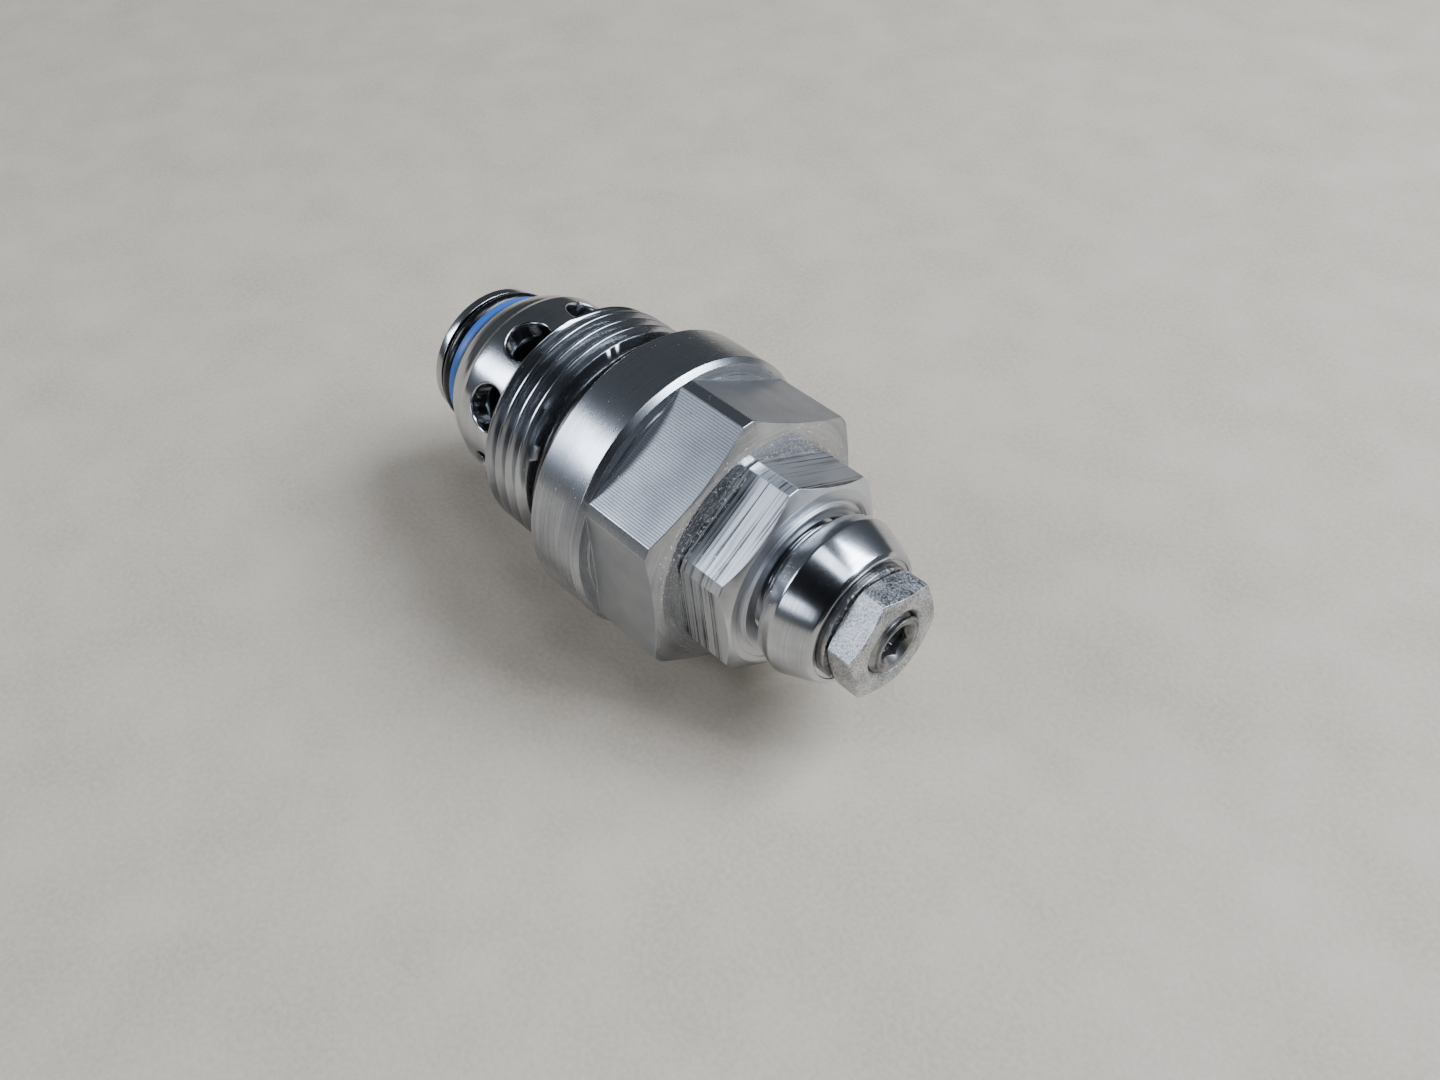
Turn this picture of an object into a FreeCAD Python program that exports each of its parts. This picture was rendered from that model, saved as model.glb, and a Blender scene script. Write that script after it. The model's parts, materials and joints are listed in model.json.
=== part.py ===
import FreeCAD, Part
import math
import os

import Sketcher

# Screw-in hydraulic relief cartridge valve, adjusted by a plug and a set screw.
# The valve's axis is X and every turned piece is drawn in the XY plane as (place along X, radius).
# The origin is on the axis, in the back face of the collar, which seats on the manifold. The nose
# points along -X into the manifold and the adjuster along +X. One corner of the body's hexagon is up.

ORIGIN = FreeCAD.Vector(0, 0, 0)
ALONG_X = FreeCAD.Rotation(FreeCAD.Vector(0, 1, 0), 90)
DRAW_CLEARANCE = 0.3      # how far a cutting profile stands outside the metal it cuts
SAME = 1e-4               # two lengths nearer than this are the same

doc = FreeCAD.newDocument("cartridge_valve")
sheet = doc.addObject("Spreadsheet::Sheet", "Sizes")


class Size:
    """A length in mm, with the sheet expression that gives it."""

    def __init__(self, number, text):
        self.number = number
        self.text = text

    def __add__(self, other):
        other = as_size(other)
        return Size(self.number + other.number, f"{self.text} + {other.text}")

    def __sub__(self, other):
        other = as_size(other)
        return Size(self.number - other.number, f"{self.text} - ({other.text})")

    def __neg__(self):
        return Size(-self.number, f"-({self.text})")

    def __mul__(self, factor):
        return Size(self.number * factor, f"({self.text}) * {factor!r}")


def as_size(value):
    """A plain number is a length that nothing drives."""
    if isinstance(value, Size):
        return value
    return Size(float(value), repr(float(value)))


def size(alias, number, meaning):
    """Write one driving dimension into the next row of the sheet."""
    row = size.rows = getattr(size, "rows", 0) + 1
    sheet.set(f"A{row}", meaning)
    sheet.set(f"B{row}", str(number))
    sheet.setAlias(f"B{row}", alias)
    return Size(number, f"Sizes.{alias}")


# Driving dimensions ---------------------------------------------------------------------------

# valve body
hex_flats = size("hex_flats", 32.0, "body hexagon across its flats")
hex_corner = size("hex_corner", 18.05, "radius to which the hexagon's corners are turned")
hex_length = size("hex_length", 11.2, "length of the body hexagon")
hex_face = size("hex_face", 15.1, "radius of the flat front face inside the chamfer")
hex_chamfer = size("hex_chamfer", 1.15, "length of the hexagon's front chamfer")
seat_width = size("seat_width", 2.75, "how far the collar stands out past the port thread")
collar_width = size("collar_width", 7.75, "width of the collar")
collar_chamfer = size("collar_chamfer", 0.75, "length of the chamfer between collar and hexagon")
edge_break = size("edge_break", 0.4, "small chamfer on turned edges")
port_thread = size("port_thread", 15.9, "crest radius of the M32x2 port thread")
port_pitch = size("port_pitch", 2.0, "pitch of the port thread")
port_length = size("port_length", 9.0, "length of the port thread")
relief_step = size("relief_step", 0.5, "seal groove's depth below the thread's root")
relief_width = size("relief_width", 4.7, "width of the seal groove behind the collar")
spigot_radius = size("spigot_radius", 11.5, "sleeve spigot held inside the body")
spigot_floor = size("spigot_floor", 2.5, "where the spigot's bore ends in the body")
plug_thread = size("plug_thread", 8.0, "major radius of the M16x1.5 adjuster thread")
plug_pitch = size("plug_pitch", 1.5, "pitch of the adjuster thread")
plug_tapping = size("plug_tapping", 7.7, "tapped depth from the hexagon's face")
bore_step = size("bore_step", 1.0, "step from the adjuster thread down to the plug seal's bore")

# sleeve and its seals
sleeve_step = size("sleeve_step", 1.55, "sleeve's step up from its spigot")
sleeve_reach = size("sleeve_reach", 19.3, "from the thread's start to the nose tip")
nose_radius = size("nose_radius", 9.5, "land in front of the nose seal")
nose_land = size("nose_land", 2.0, "length of that land")
nose_groove = size("nose_groove", 3.6, "width of the nose seal groove")
nose_depth = size("nose_depth", 1.5, "depth of that groove")
nose_step = size("nose_step", 0.6, "sleeve's step up behind the nose seal")
shoulder_length = size("shoulder_length", 5.0, "length of the conical shoulder")
inlet_length = size("inlet_length", 7.0, "from the nose tip to the main seat")
chamber_cone = size("chamber_cone", 1.0, "length of the cone from the seat to the chamber")
chamber_step = size("chamber_step", 0.2, "chamber's wall outside the drain holes")
chamber_end = size("chamber_end", 1.2, "chamber's reach past the start of the body thread")
port_hole = size("port_hole", 3.05, "radius of each outlet hole")
port_hole_gap = size("port_hole_gap", 3.24, "from the body thread's start to the holes' centres")
poppet_bore = size("poppet_bore", 7.2, "bore that guides the main poppet")
seat_step = size("seat_step", 0.9, "main seat's radius inside the poppet's bore")
drain_hole = size("drain_hole", 0.8, "radius of each drain hole along the sleeve's wall")
drain_wall = size("drain_wall", 1.0, "metal between the poppet's bore and a drain hole")
nose_cord = size("nose_cord", 0.98, "section radius of the fitted nose O-ring")
backup_width = size("backup_width", 1.2, "width of the nose backup ring")
backup_proud = size("backup_proud", 0.48, "backup ring's height above the nose land")
port_cord = size("port_cord", 1.3, "section radius of the collar O-ring")
wire_radius = size("wire_radius", 0.6, "wire of the sleeve's retaining ring")
wire_place = size("wire_place", 4.0, "retaining ring from the body thread's start")

# main poppet
running = size("running", 0.03, "running clearance of pieces that slide")
fitted = size("fitted", 0.02, "gap left where fitted pieces meet")
poppet_length = size("poppet_length", 20.8, "overall length of the main poppet")
poppet_nose = size("poppet_nose", 1.5, "how far the poppet's flat tip is inside the seat's radius")
poppet_wall = size("poppet_wall", 2.6, "from the poppet's bore down to the spring's bore")
poppet_floor = size("poppet_floor", 5.5, "solid nose in front of the spring's bore")
balance_place = size("balance_place", 5.0, "first balance groove from the poppet's spring end")
balance_width = size("balance_width", 0.5, "width of each balance groove")
balance_depth = size("balance_depth", 0.3, "depth of each balance groove")
balance_pitch = size("balance_pitch", 1.5, "spacing of the three balance grooves")
orifice_thread = size("orifice_thread", 2.0, "radius of the M4 tapping in the poppet's nose")
orifice_length = size("orifice_length", 3.8, "length of the orifice screw")
orifice_bore = size("orifice_bore", 0.4, "radius of the orifice")
orifice_flats = size("orifice_flats", 2.0, "hex socket of the orifice screw")
orifice_socket = size("orifice_socket", 1.5, "depth of that socket")
orifice_passage = size("orifice_passage", 1.0, "radius of the passage behind the orifice screw")
main_wire = size("main_wire", 0.45, "wire radius of the main spring")
coil_room = size("coil_room", 0.45, "room round a spring in its bore")

# pilot stage
seat_flange = size("seat_flange", 1.5, "thickness of the pilot seat's flange")
seat_spigot = size("seat_spigot", 3.2, "length of the pilot seat's spigot in the sleeve")
seat_hub = size("seat_hub", 1.9, "length of the pilot seat's hub")
hub_gap = size("hub_gap", 0.6, "oil way round the hub in the body's bore")
seat_pocket = size("seat_pocket", 1.2, "depth of the main spring's pocket")
seat_slot = size("seat_slot", 0.7, "depth of the drain slots in the flange")
seat_cord = size("seat_cord", 0.6, "section radius of the pilot seat O-ring")
pilot_hole = size("pilot_hole", 1.5, "radius of the pilot seat's edge")
pilot_drill = size("pilot_drill", 0.8, "radius of the hole through the pilot seat")
pilot_hole_depth = size("pilot_hole_depth", 2.4, "depth of the hole under the seat's edge")
cone_blunt = size("cone_blunt", 0.35, "radius of the pilot cone's flat tip")
cone_radius = size("cone_radius", 2.6, "largest radius of the cone")
cone_neck = size("cone_neck", 0.8, "cylinder between cone and flange")
flange_gap = size("flange_gap", 0.7, "room round the cone's flange in the plug's bore")
cone_flange_width = size("cone_flange_width", 1.0, "width of that flange")
cone_stem_length = size("cone_stem_length", 3.0, "length of the stem inside the pilot spring")
stem_gap = size("stem_gap", 0.6, "room between that stem and the pilot spring")
pilot_wire = size("pilot_wire", 0.6, "wire radius of the pilot spring")
pilot_margin = size("pilot_margin", 0.1, "pilot spring's edge inside the flange's edge")

# adjusting plug
plug_in = size("plug_in", 1.0, "travel of the plug inwards from this setting")
plug_gap = size("plug_gap", 1.4, "from the pilot seat's hub to the plug's end")
plug_clearance = size("plug_clearance", 0.07, "clearance of the plug's plain end in the body")
plug_land = size("plug_land", 1.2, "land in front of the plug's seal")
plug_groove = size("plug_groove", 2.3, "width of the plug's seal groove")
plug_cord = size("plug_cord", 0.67, "section radius of the fitted plug O-ring")
plug_wall = size("plug_wall", 1.2, "plug's wall under the seal groove")
plug_end_wall = size("plug_end_wall", 5.3, "length of the set screw's tapping in the bell")
undercut_width = size("undercut_width", 0.7, "thread undercut behind the bell")
undercut_depth = size("undercut_depth", 0.8, "depth of that undercut")
bell_gap = size("bell_gap", 1.8, "from the lock nut's boss to the bell")
bell_step = size("bell_step", 1.9, "bell's step up from the shank at its back edge")
bell_band = size("bell_band", 2.0, "width of the band behind the bell's ridge")
bell_rise = size("bell_rise", 0.45, "ridge's height above the bell's back edge")
bell_cone = size("bell_cone", 4.45, "length of the bell's tapered part")
bell_fall = size("bell_fall", 1.65, "fall of the taper from the ridge to the front")
bell_rim = size("bell_rim", 0.4, "rounded rim in front of the taper")
bell_lip = size("bell_lip", 0.8, "width of the rim round the washer's recess")
bell_recess = size("bell_recess", 0.25, "depth of that recess")

# plunger and set screw
plunger_clearance = size("plunger_clearance", 0.04, "running clearance of the plunger")
plunger_length = size("plunger_length", 6.0, "length of the plunger's body")
plunger_hub_length = size("plunger_hub_length", 1.7, "length of the hub inside the pilot spring")
hub_room = size("hub_room", 0.2, "room between that hub and the spring")
plunger_groove = size("plunger_groove", 1.5, "width of that groove")
plunger_cord = size("plunger_cord", 0.55, "section radius of the plunger O-ring")
plunger_end = size("plunger_end", 2.3, "from the groove to the set screw's end")
screw_radius = size("screw_radius", 4.0, "major radius of the M8x1.25 set screw")
screw_pitch = size("screw_pitch", 1.25, "pitch of the set screw")
screw_length = size("screw_length", 12.0, "length of the set screw")
screw_tip = size("screw_tip", 2.75, "radius of the set screw's dog point")
tip_length = size("tip_length", 2.7, "length of the dog point")
screw_proud = size("screw_proud", 0.35, "set screw's end in front of its nut")
socket_flats = size("socket_flats", 4.0, "hex socket of the set screw")
socket_depth = size("socket_depth", 4.6, "depth of that socket")
socket_sink = size("socket_sink", 0.46, "countersink outside the socket's corners")
thread_clearance = size("thread_clearance", 0.05, "running clearance of each turning thread")

# nuts, washer and thread seal
lock_flats = size("lock_flats", 24.0, "lock nut across its flats")
lock_corner = size("lock_corner", 13.44, "radius to which the lock nut's corners are turned")
lock_length = size("lock_length", 7.5, "thickness of the lock nut's hexagon")
lock_face = size("lock_face", 11.7, "radius of the lock nut's front face")
boss_wall = size("boss_wall", 1.9, "width of the raised ring on the lock nut's face")
boss_height = size("boss_height", 0.5, "height of that ring")
seal_wall = size("seal_wall", 1.3, "width of the thread seal ring")
seal_width = size("seal_width", 1.4, "thickness of the thread seal ring")
seal_room = size("seal_room", 0.06, "room round the thread seal ring in the lock nut")
small_flats = size("small_flats", 13.0, "set screw nut across its flats")
small_corner = size("small_corner", 7.43, "radius to which its corners are turned")
small_length = size("small_length", 4.0, "thickness of the set screw nut")
small_face = size("small_face", 6.3, "radius of its flat faces")
washer_rim = size("washer_rim", 0.55, "room round the seal washer in the bell's recess")
washer_room = size("washer_room", 0.2, "room round the set screw in the seal washer")
washer_width = size("washer_width", 1.05, "thickness of the seal washer")
doc.recompute()

# Angles in degrees about X, from straight up, at which pieces have come to rest.
LOCK_NUT_TURN = 3.1
SMALL_NUT_TURN = 13.9
SLEEVE_TURN = 17.1
SOCKET_TURN = 8.0
OUTLET_HOLES = 8
DRAIN_HOLES = 4
BALANCE_GROOVES = 3
WIRE_RING_SPAN = 325.0
MAIN_SPRING_TURNS = 9.0
PILOT_SPRING_TURNS = 7.0
THREAD_DEPTH = 0.6134                        # share of the pitch, for a 60 degree thread
HALF_ROOT = 0.0625                           # half of the root's width, as a share of the pitch
HEX_CORNER = 1 / math.sqrt(3)                # a hexagon's corner radius over its flats
SLOPE_60 = math.tan(math.radians(30))        # radius gained per length on a 60 degree cone
CORNER_SLOPE = math.tan(math.radians(20))    # length per radius of the small nut's chamfers

# Radii, each worked out from the piece that it fits.
port_root = port_thread - port_pitch * THREAD_DEPTH
relief_radius = port_root - relief_step
collar_radius = port_thread + seat_width
port_centre = relief_radius + port_cord + fitted
guide_bore = plug_thread - bore_step
sleeve_radius = spigot_radius + sleeve_step
nose_root = nose_radius - nose_depth
nose_back = nose_radius + nose_step
nose_centre = nose_root + nose_cord + fitted * 2
backup_radius = nose_radius + backup_proud
inlet_radius = poppet_bore - seat_step
drain_circle = poppet_bore + drain_wall + drain_hole
chamber_radius = drain_circle + drain_hole + chamber_step
poppet_radius = poppet_bore - running
poppet_tip = inlet_radius - poppet_nose
poppet_pocket = poppet_bore - poppet_wall
main_coil = poppet_pocket - coil_room - main_wire
hub_radius = guide_bore - hub_gap
plug_nose = guide_bore - plug_clearance
plug_root = guide_bore - plug_cord * 2 - running * 2
plug_bore = plug_root - plug_wall
plug_crest = plug_thread - thread_clearance
cone_flange = plug_bore - flange_gap
pilot_coil = cone_flange - pilot_margin - pilot_wire
cone_stem = pilot_coil - pilot_wire - stem_gap
plunger_hub = pilot_coil - pilot_wire - hub_room
plunger_radius = plug_bore - plunger_clearance
plunger_root = plug_bore - plunger_cord * 2 - plunger_clearance * 2
undercut_radius = plug_thread - undercut_depth
bell_back = plug_thread + bell_step
bell_ridge = bell_back + bell_rise
bell_front = bell_ridge - bell_fall
recess_radius = bell_front - bell_lip
washer_radius = recess_radius - washer_rim
washer_bore = screw_radius + washer_room
seal_outer = plug_thread + seal_wall
lock_boss = plug_thread + boss_wall
screw_crest = screw_radius - thread_clearance
socket_corner = socket_flats * HEX_CORNER
socket_mouth = socket_corner + socket_sink

# Places along the axis, each worked out from the piece that it seats on.
seat_plane = as_size(0)
collar_front = collar_width
hex_back = collar_front + collar_chamfer
hex_front = hex_back + hex_length
thread_end = -relief_width
thread_start = thread_end - port_length
plug_tapping_end = hex_front - plug_tapping
nose_tip = thread_start - sleeve_reach
nose_groove_back = nose_tip + nose_land
nose_groove_front = nose_groove_back + nose_groove
shoulder_front = nose_groove_front + shoulder_length
main_seat = nose_tip + inlet_length
chamber_back = main_seat + chamber_cone
chamber_front = thread_start + chamber_end
outlet_place = thread_start - port_hole_gap
wire_centre = thread_start + wire_place
backup_back = nose_groove_front - backup_width - fitted
poppet_back = main_seat - poppet_nose + fitted
poppet_front = poppet_back + poppet_length
pocket_floor = poppet_back + poppet_floor
flange_front = spigot_floor
sleeve_end = flange_front - seat_flange
seat_end = sleeve_end - seat_spigot
main_spring_front = seat_end + seat_pocket
pilot_edge = flange_front + seat_hub
cone_tip = pilot_edge - (pilot_hole - cone_blunt - fitted) * (1 / SLOPE_60)
cone_base = cone_tip + (cone_radius - cone_blunt) * (1 / SLOPE_60)
cone_flange_back = cone_base + cone_neck
cone_flange_front = cone_flange_back + cone_flange_width
plug_end = pilot_edge + plug_gap
plug_groove_back = plug_end + plug_land
plug_groove_front = plug_groove_back + plug_groove
plug_shank_start = plug_tapping_end + plug_in + edge_break
lock_nut_front = hex_front + lock_length
boss_front = lock_nut_front + boss_height
bell_start = boss_front + bell_gap
ridge_place = bell_start + bell_band
taper_end = ridge_place + bell_cone
washer_seat = taper_end + bell_rim - bell_recess
washer_front = washer_seat + washer_width
small_nut_front = washer_front + small_length
screw_front = small_nut_front + screw_proud
screw_back = screw_front - screw_length
plunger_back = screw_back - plunger_length
set_screw_tapping = washer_seat - plug_end_wall


# Ways of making a piece -----------------------------------------------------------------------

def new_body(label):
    """An empty body for one machined piece."""
    body = doc.addObject("PartDesign::Body", label)
    body.Label = label
    return body


def origin_feature(body, role):
    """One of the body's own origin planes or axes."""
    return next(item for item in body.Origin.OriginFeatures if item.Role == role)


def new_sketch(body, name, role="XY_Plane"):
    """A sketch flat on one of the body's own planes."""
    sketch = body.newObject("Sketcher::SketchObject", name)
    sketch.AttachmentSupport = [(origin_feature(body, role), "")]
    sketch.MapMode = "FlatFace"
    return sketch


def closed_outline(sketch, points):
    """Straight sides through the points, each point tied to the sheet by its two distances."""
    first = sketch.GeometryCount
    corners = [(as_size(across), as_size(up)) for across, up in points]
    count = len(corners)
    for i, (across, up) in enumerate(corners):
        next_across, next_up = corners[(i + 1) % count]
        start = FreeCAD.Vector(across.number, up.number, 0)
        end = FreeCAD.Vector(next_across.number, next_up.number, 0)
        sketch.addGeometry(Part.LineSegment(start, end), False)
    for i in range(count):
        joined = Sketcher.Constraint("Coincident", first + i, 2, first + (i + 1) % count, 1)
        sketch.addConstraint(joined)
    for i, corner in enumerate(corners):
        for direction, distance in zip(("DistanceX", "DistanceY"), corner):
            held = Sketcher.Constraint(direction, first + i, 1, distance.number)
            index = sketch.addConstraint(held)
            sketch.setExpression(f"Constraints[{index}]", distance.text)


def circle(sketch, across, up, radius):
    """A circle tied to the sheet by its centre and radius."""
    across, up, radius = as_size(across), as_size(up), as_size(radius)
    centre = FreeCAD.Vector(across.number, up.number, 0)
    ring = sketch.addGeometry(Part.Circle(centre, FreeCAD.Vector(0, 0, 1), radius.number), False)
    for direction, distance in (("DistanceX", across), ("DistanceY", up)):
        index = sketch.addConstraint(Sketcher.Constraint(direction, ring, 3, distance.number))
        sketch.setExpression(f"Constraints[{index}]", distance.text)
    index = sketch.addConstraint(Sketcher.Constraint("Radius", ring, radius.number))
    sketch.setExpression(f"Constraints[{index}]", radius.text)


def hexagon(sketch, flats):
    """A regular hexagon about the axis, with a corner straight up."""
    corner = flats * HEX_CORNER
    angles = [math.radians(60 * i) for i in range(6)]
    closed_outline(sketch, [(corner * math.sin(a), corner * math.cos(a)) for a in angles])


def turned(label, points, turn=0.0):
    """A piece turned on a lathe: the outline goes once round the X axis."""
    body = new_body(label)
    sketch = new_sketch(body, f"{label}_outline")
    closed_outline(sketch, points)
    revolution = body.newObject("PartDesign::Revolution", f"{label}_turned")
    revolution.Profile = sketch
    revolution.ReferenceAxis = (sketch, ["H_Axis"])
    revolution.Angle = 360
    body.Placement = FreeCAD.Placement(ORIGIN, FreeCAD.Rotation(FreeCAD.Vector(1, 0, 0), turn))
    doc.recompute()
    return body


def removes_metal(body, feature, before):
    """Stop if a cutting feature has left the piece as it was."""
    doc.recompute()
    if feature.Shape.isNull() or feature.Shape.Volume > before - SAME:
        raise ValueError(f"{feature.Name} cuts nothing from {body.Label}")
    return feature


def turned_groove(body, name, points):
    """A groove turned into the piece."""
    before = body.Shape.Volume
    sketch = new_sketch(body, f"{name}_outline")
    closed_outline(sketch, points)
    groove = body.newObject("PartDesign::Groove", name)
    groove.Profile = sketch
    groove.ReferenceAxis = (sketch, ["H_Axis"])
    groove.Angle = 360
    return removes_metal(body, groove, before)


def repeated_groove(body, groove, pitch, start, end):
    """The same groove again at each pitch, as far as the end."""
    occurrences = f"floor(({end.text} - ({start.text})) / ({pitch.text}))"
    pattern = body.newObject("PartDesign::LinearPattern", f"{groove.Name}_repeated")
    pattern.Originals = [groove]
    pattern.Direction = (origin_feature(body, "X_Axis"), [""])
    pattern.setExpression("Occurrences", occurrences)
    pattern.setExpression("Length", f"({pitch.text}) * ({occurrences} - 1)")
    body.Tip = pattern
    doc.recompute()
    return pattern


def thread_groove_outline(centre, crest, pitch):
    """The section of a 60 degree thread groove with a narrow flat root."""
    depth = pitch * THREAD_DEPTH
    half_root = pitch * HALF_ROOT
    half_mouth = half_root + (depth + DRAW_CLEARANCE) * SLOPE_60
    return [
        (centre - half_mouth, crest + DRAW_CLEARANCE),
        (centre - half_root, crest - depth),
        (centre + half_root, crest - depth),
        (centre + half_mouth, crest + DRAW_CLEARANCE),
    ]


def thread_rings(body, name, start, end, crest, pitch):
    """An outside thread drawn as rings, one groove at each pitch."""
    before = body.Shape.Volume
    outline = thread_groove_outline(start + pitch * 0.5, crest, pitch)
    groove = turned_groove(body, name, outline)
    pattern = repeated_groove(body, groove, pitch, start, end)
    return removes_metal(body, pattern, before)


def cut_hexagon(body, name, start, length, flats):
    """Six flats milled on a round piece, from start along +X, the corners left as turned."""
    before = body.Shape.Volume
    sketch = new_sketch(body, f"{name}_outline", "YZ_Plane")
    sketch.setExpression("AttachmentOffset.Base.z", start.text)
    circle(sketch, 0, 0, flats * HEX_CORNER + DRAW_CLEARANCE)
    hexagon(sketch, flats)
    pocket = body.newObject("PartDesign::Pocket", name)
    pocket.Profile = sketch
    pocket.Reversed = True
    pocket.setExpression("Length", length.text)
    return removes_metal(body, pocket, before)


def cut_socket(body, name, mouth, depth, flats, inward):
    """A hex socket sunk from the mouth into the piece, along +X if inward is 1, or -X if -1."""
    before = body.Shape.Volume
    sketch = new_sketch(body, f"{name}_outline", "YZ_Plane")
    sketch.setExpression("AttachmentOffset.Base.z", mouth.text)
    hexagon(sketch, flats)
    pocket = body.newObject("PartDesign::Pocket", name)
    pocket.Profile = sketch
    pocket.Reversed = inward > 0
    pocket.setExpression("Length", depth.text)
    return removes_metal(body, pocket, before)


def round_the_axis(body, feature, count):
    """The same feature again, evenly round the valve's axis."""
    pattern = body.newObject("PartDesign::PolarPattern", f"{feature.Name}_repeated")
    pattern.Originals = [feature]
    pattern.Axis = (origin_feature(body, "X_Axis"), [""])
    pattern.Angle = 360
    pattern.Occurrences = count
    body.Tip = pattern
    doc.recompute()
    return pattern


def drilled_along(body, name, radius, circle_radius, start, length, count):
    """Holes drilled along the axis, evenly spaced on a circle."""
    before = body.Shape.Volume
    sketch = new_sketch(body, f"{name}_outline", "YZ_Plane")
    sketch.setExpression("AttachmentOffset.Base.z", start.text)
    circle(sketch, 0, circle_radius, radius)
    pocket = body.newObject("PartDesign::Pocket", name)
    pocket.Profile = sketch
    pocket.Reversed = True
    pocket.setExpression("Length", length.text)
    removes_metal(body, pocket, before)
    return round_the_axis(body, pocket, count)


def ring(label, centre, section, place, span=360.0):
    """A ring of round section about the axis: an O-ring or a wire ring."""
    torus = doc.addObject("Part::Torus", label)
    torus.Label = label
    torus.setExpression("Radius1", centre.text)
    torus.setExpression("Radius2", section.text)
    torus.Angle3 = span
    torus.Placement = FreeCAD.Placement(ORIGIN, ALONG_X)
    torus.setExpression("Placement.Base.x", place.text)
    doc.recompute()
    return torus


def coil_spring(label, start, end, mean, wire, turns):
    """A compression spring with closed, ground ends, from start to end along X.

    The wire's centre rises slowly over the first and last turn and evenly between them. The sweep
    runs past both ends by half a wire, where two flat cuts leave the ground faces.
    """
    closed = 1.0
    steps = int(turns * 12)
    length = end.number - start.number
    wire_size = wire.number
    closed_rise = wire_size * 1.9
    open_rise = (length - 2 * closed_rise) / (turns - 2 * closed)

    def rise(turn):
        lead_in = min(turn, closed) * closed_rise / closed
        middle = min(max(turn - closed, 0.0), turns - 2 * closed) * open_rise
        lead_out = max(turn - (turns - closed), 0.0) * closed_rise / closed
        return start.number + lead_in + middle + lead_out

    points = []
    for i in range(steps + 1):
        turn = turns * i / steps
        angle = 2 * math.pi * turn
        radius = mean.number
        points.append(FreeCAD.Vector(rise(turn), radius * math.sin(angle), radius * math.cos(angle)))
    path = Part.BSplineCurve()
    path.interpolate(points)
    direction = path.tangent(path.FirstParameter)[0]
    section = Part.Wire(Part.Circle(points[0], direction, wire_size).toShape())
    pipe = Part.Wire(path.toShape()).makePipeShell([section], True, True)
    reach = mean.number + 2 * wire_size
    between = Part.makeCylinder(reach, length, FreeCAD.Vector(start.number, 0, 0),
                                FreeCAD.Vector(1, 0, 0))
    spring = doc.addObject("Part::Feature", label)
    spring.Label = label
    spring.Shape = pipe.common(between)
    spring.Placement = FreeCAD.Placement()
    return spring


# Valve body -----------------------------------------------------------------------------------
# Bar steel, turned all over: port thread, seal groove and collar, then six milled flats. The bore
# holds the sleeve at the back, the plug's seal in the middle and the adjuster thread in front.

pieces = []

body = turned("valve_body", [
    (thread_start, spigot_radius),
    (thread_start, port_root),
    (thread_start + (port_thread - port_root), port_thread),
    (thread_end, port_thread),
    (thread_end + edge_break, relief_radius),
    (seat_plane, relief_radius),
    (seat_plane, collar_radius - edge_break),
    (edge_break, collar_radius),
    (collar_front, collar_radius),
    (hex_back, hex_corner),
    (hex_front - hex_chamfer, hex_corner),
    (hex_front, hex_face),
    (hex_front, plug_thread + edge_break),
    (hex_front - edge_break, plug_thread),
    (plug_tapping_end, plug_thread),
    (plug_tapping_end, guide_bore),
    (spigot_floor, guide_bore),
    (spigot_floor, spigot_radius),
])
cut_hexagon(body, "body_flats", hex_back, hex_length, hex_flats)
turned_groove(body, "body_wire_groove", [
    (wire_centre - wire_radius, spigot_radius - DRAW_CLEARANCE),
    (wire_centre - wire_radius, spigot_radius + wire_radius),
    (wire_centre + wire_radius, spigot_radius + wire_radius),
    (wire_centre + wire_radius, spigot_radius - DRAW_CLEARANCE),
])


def port_thread_groove(body):
    """The port thread's real helix: a 60 degree groove that runs out into the seal groove."""
    before = body.Shape.Volume
    sketch = new_sketch(body, "port_thread_outline")
    closed_outline(sketch, thread_groove_outline(thread_start - port_pitch, port_thread, port_pitch))
    helix = body.newObject("PartDesign::SubtractiveHelix", "port_thread_groove")
    helix.Profile = sketch
    helix.ReferenceAxis = (sketch, ["H_Axis"])
    helix.Mode = 0
    helix.setExpression("Pitch", port_pitch.text)
    helix.setExpression("Height", (port_length + port_pitch * 2).text)
    return removes_metal(body, helix, before)


port_thread_groove(body)
pieces.append(body)

# Sleeve, or cage: hardened steel, pushed into the body and held by a wire ring. The inner edge of its
# inlet bore is the main seat. Eight holes let the flow out, four long drillings drain the pilot stage.

sleeve = turned("valve_sleeve", [
    (nose_tip, inlet_radius),
    (nose_tip, nose_radius - edge_break * 2),
    (nose_tip + edge_break * 2, nose_radius),
    (nose_groove_back, nose_radius),
    (nose_groove_back, nose_root),
    (nose_groove_front, nose_root),
    (nose_groove_front, nose_back),
    (shoulder_front, sleeve_radius - edge_break),
    (shoulder_front + edge_break * 2, sleeve_radius),
    (thread_start, sleeve_radius),
    (thread_start, spigot_radius),
    (sleeve_end, spigot_radius),
    (sleeve_end, poppet_bore),
    (chamber_front, poppet_bore),
    (chamber_front, chamber_radius),
    (chamber_back, chamber_radius),
    (main_seat, inlet_radius),
], SLEEVE_TURN)
turned_groove(sleeve, "sleeve_wire_groove", [
    (wire_centre - wire_radius, spigot_radius - wire_radius),
    (wire_centre - wire_radius, spigot_radius + DRAW_CLEARANCE),
    (wire_centre + wire_radius, spigot_radius + DRAW_CLEARANCE),
    (wire_centre + wire_radius, spigot_radius - wire_radius),
])


def outlet_holes(body):
    """Round holes through the sleeve's wall, evenly spaced, the first one straight up."""
    before = body.Shape.Volume
    sketch = new_sketch(body, "outlet_outline")
    circle(sketch, outlet_place, 0, port_hole)
    pocket = body.newObject("PartDesign::Pocket", "outlet")
    pocket.Profile = sketch
    pocket.Reversed = True
    pocket.setExpression("Length", (sleeve_radius + 1).text)
    removes_metal(body, pocket, before)
    return round_the_axis(body, pocket, OUTLET_HOLES)


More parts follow.
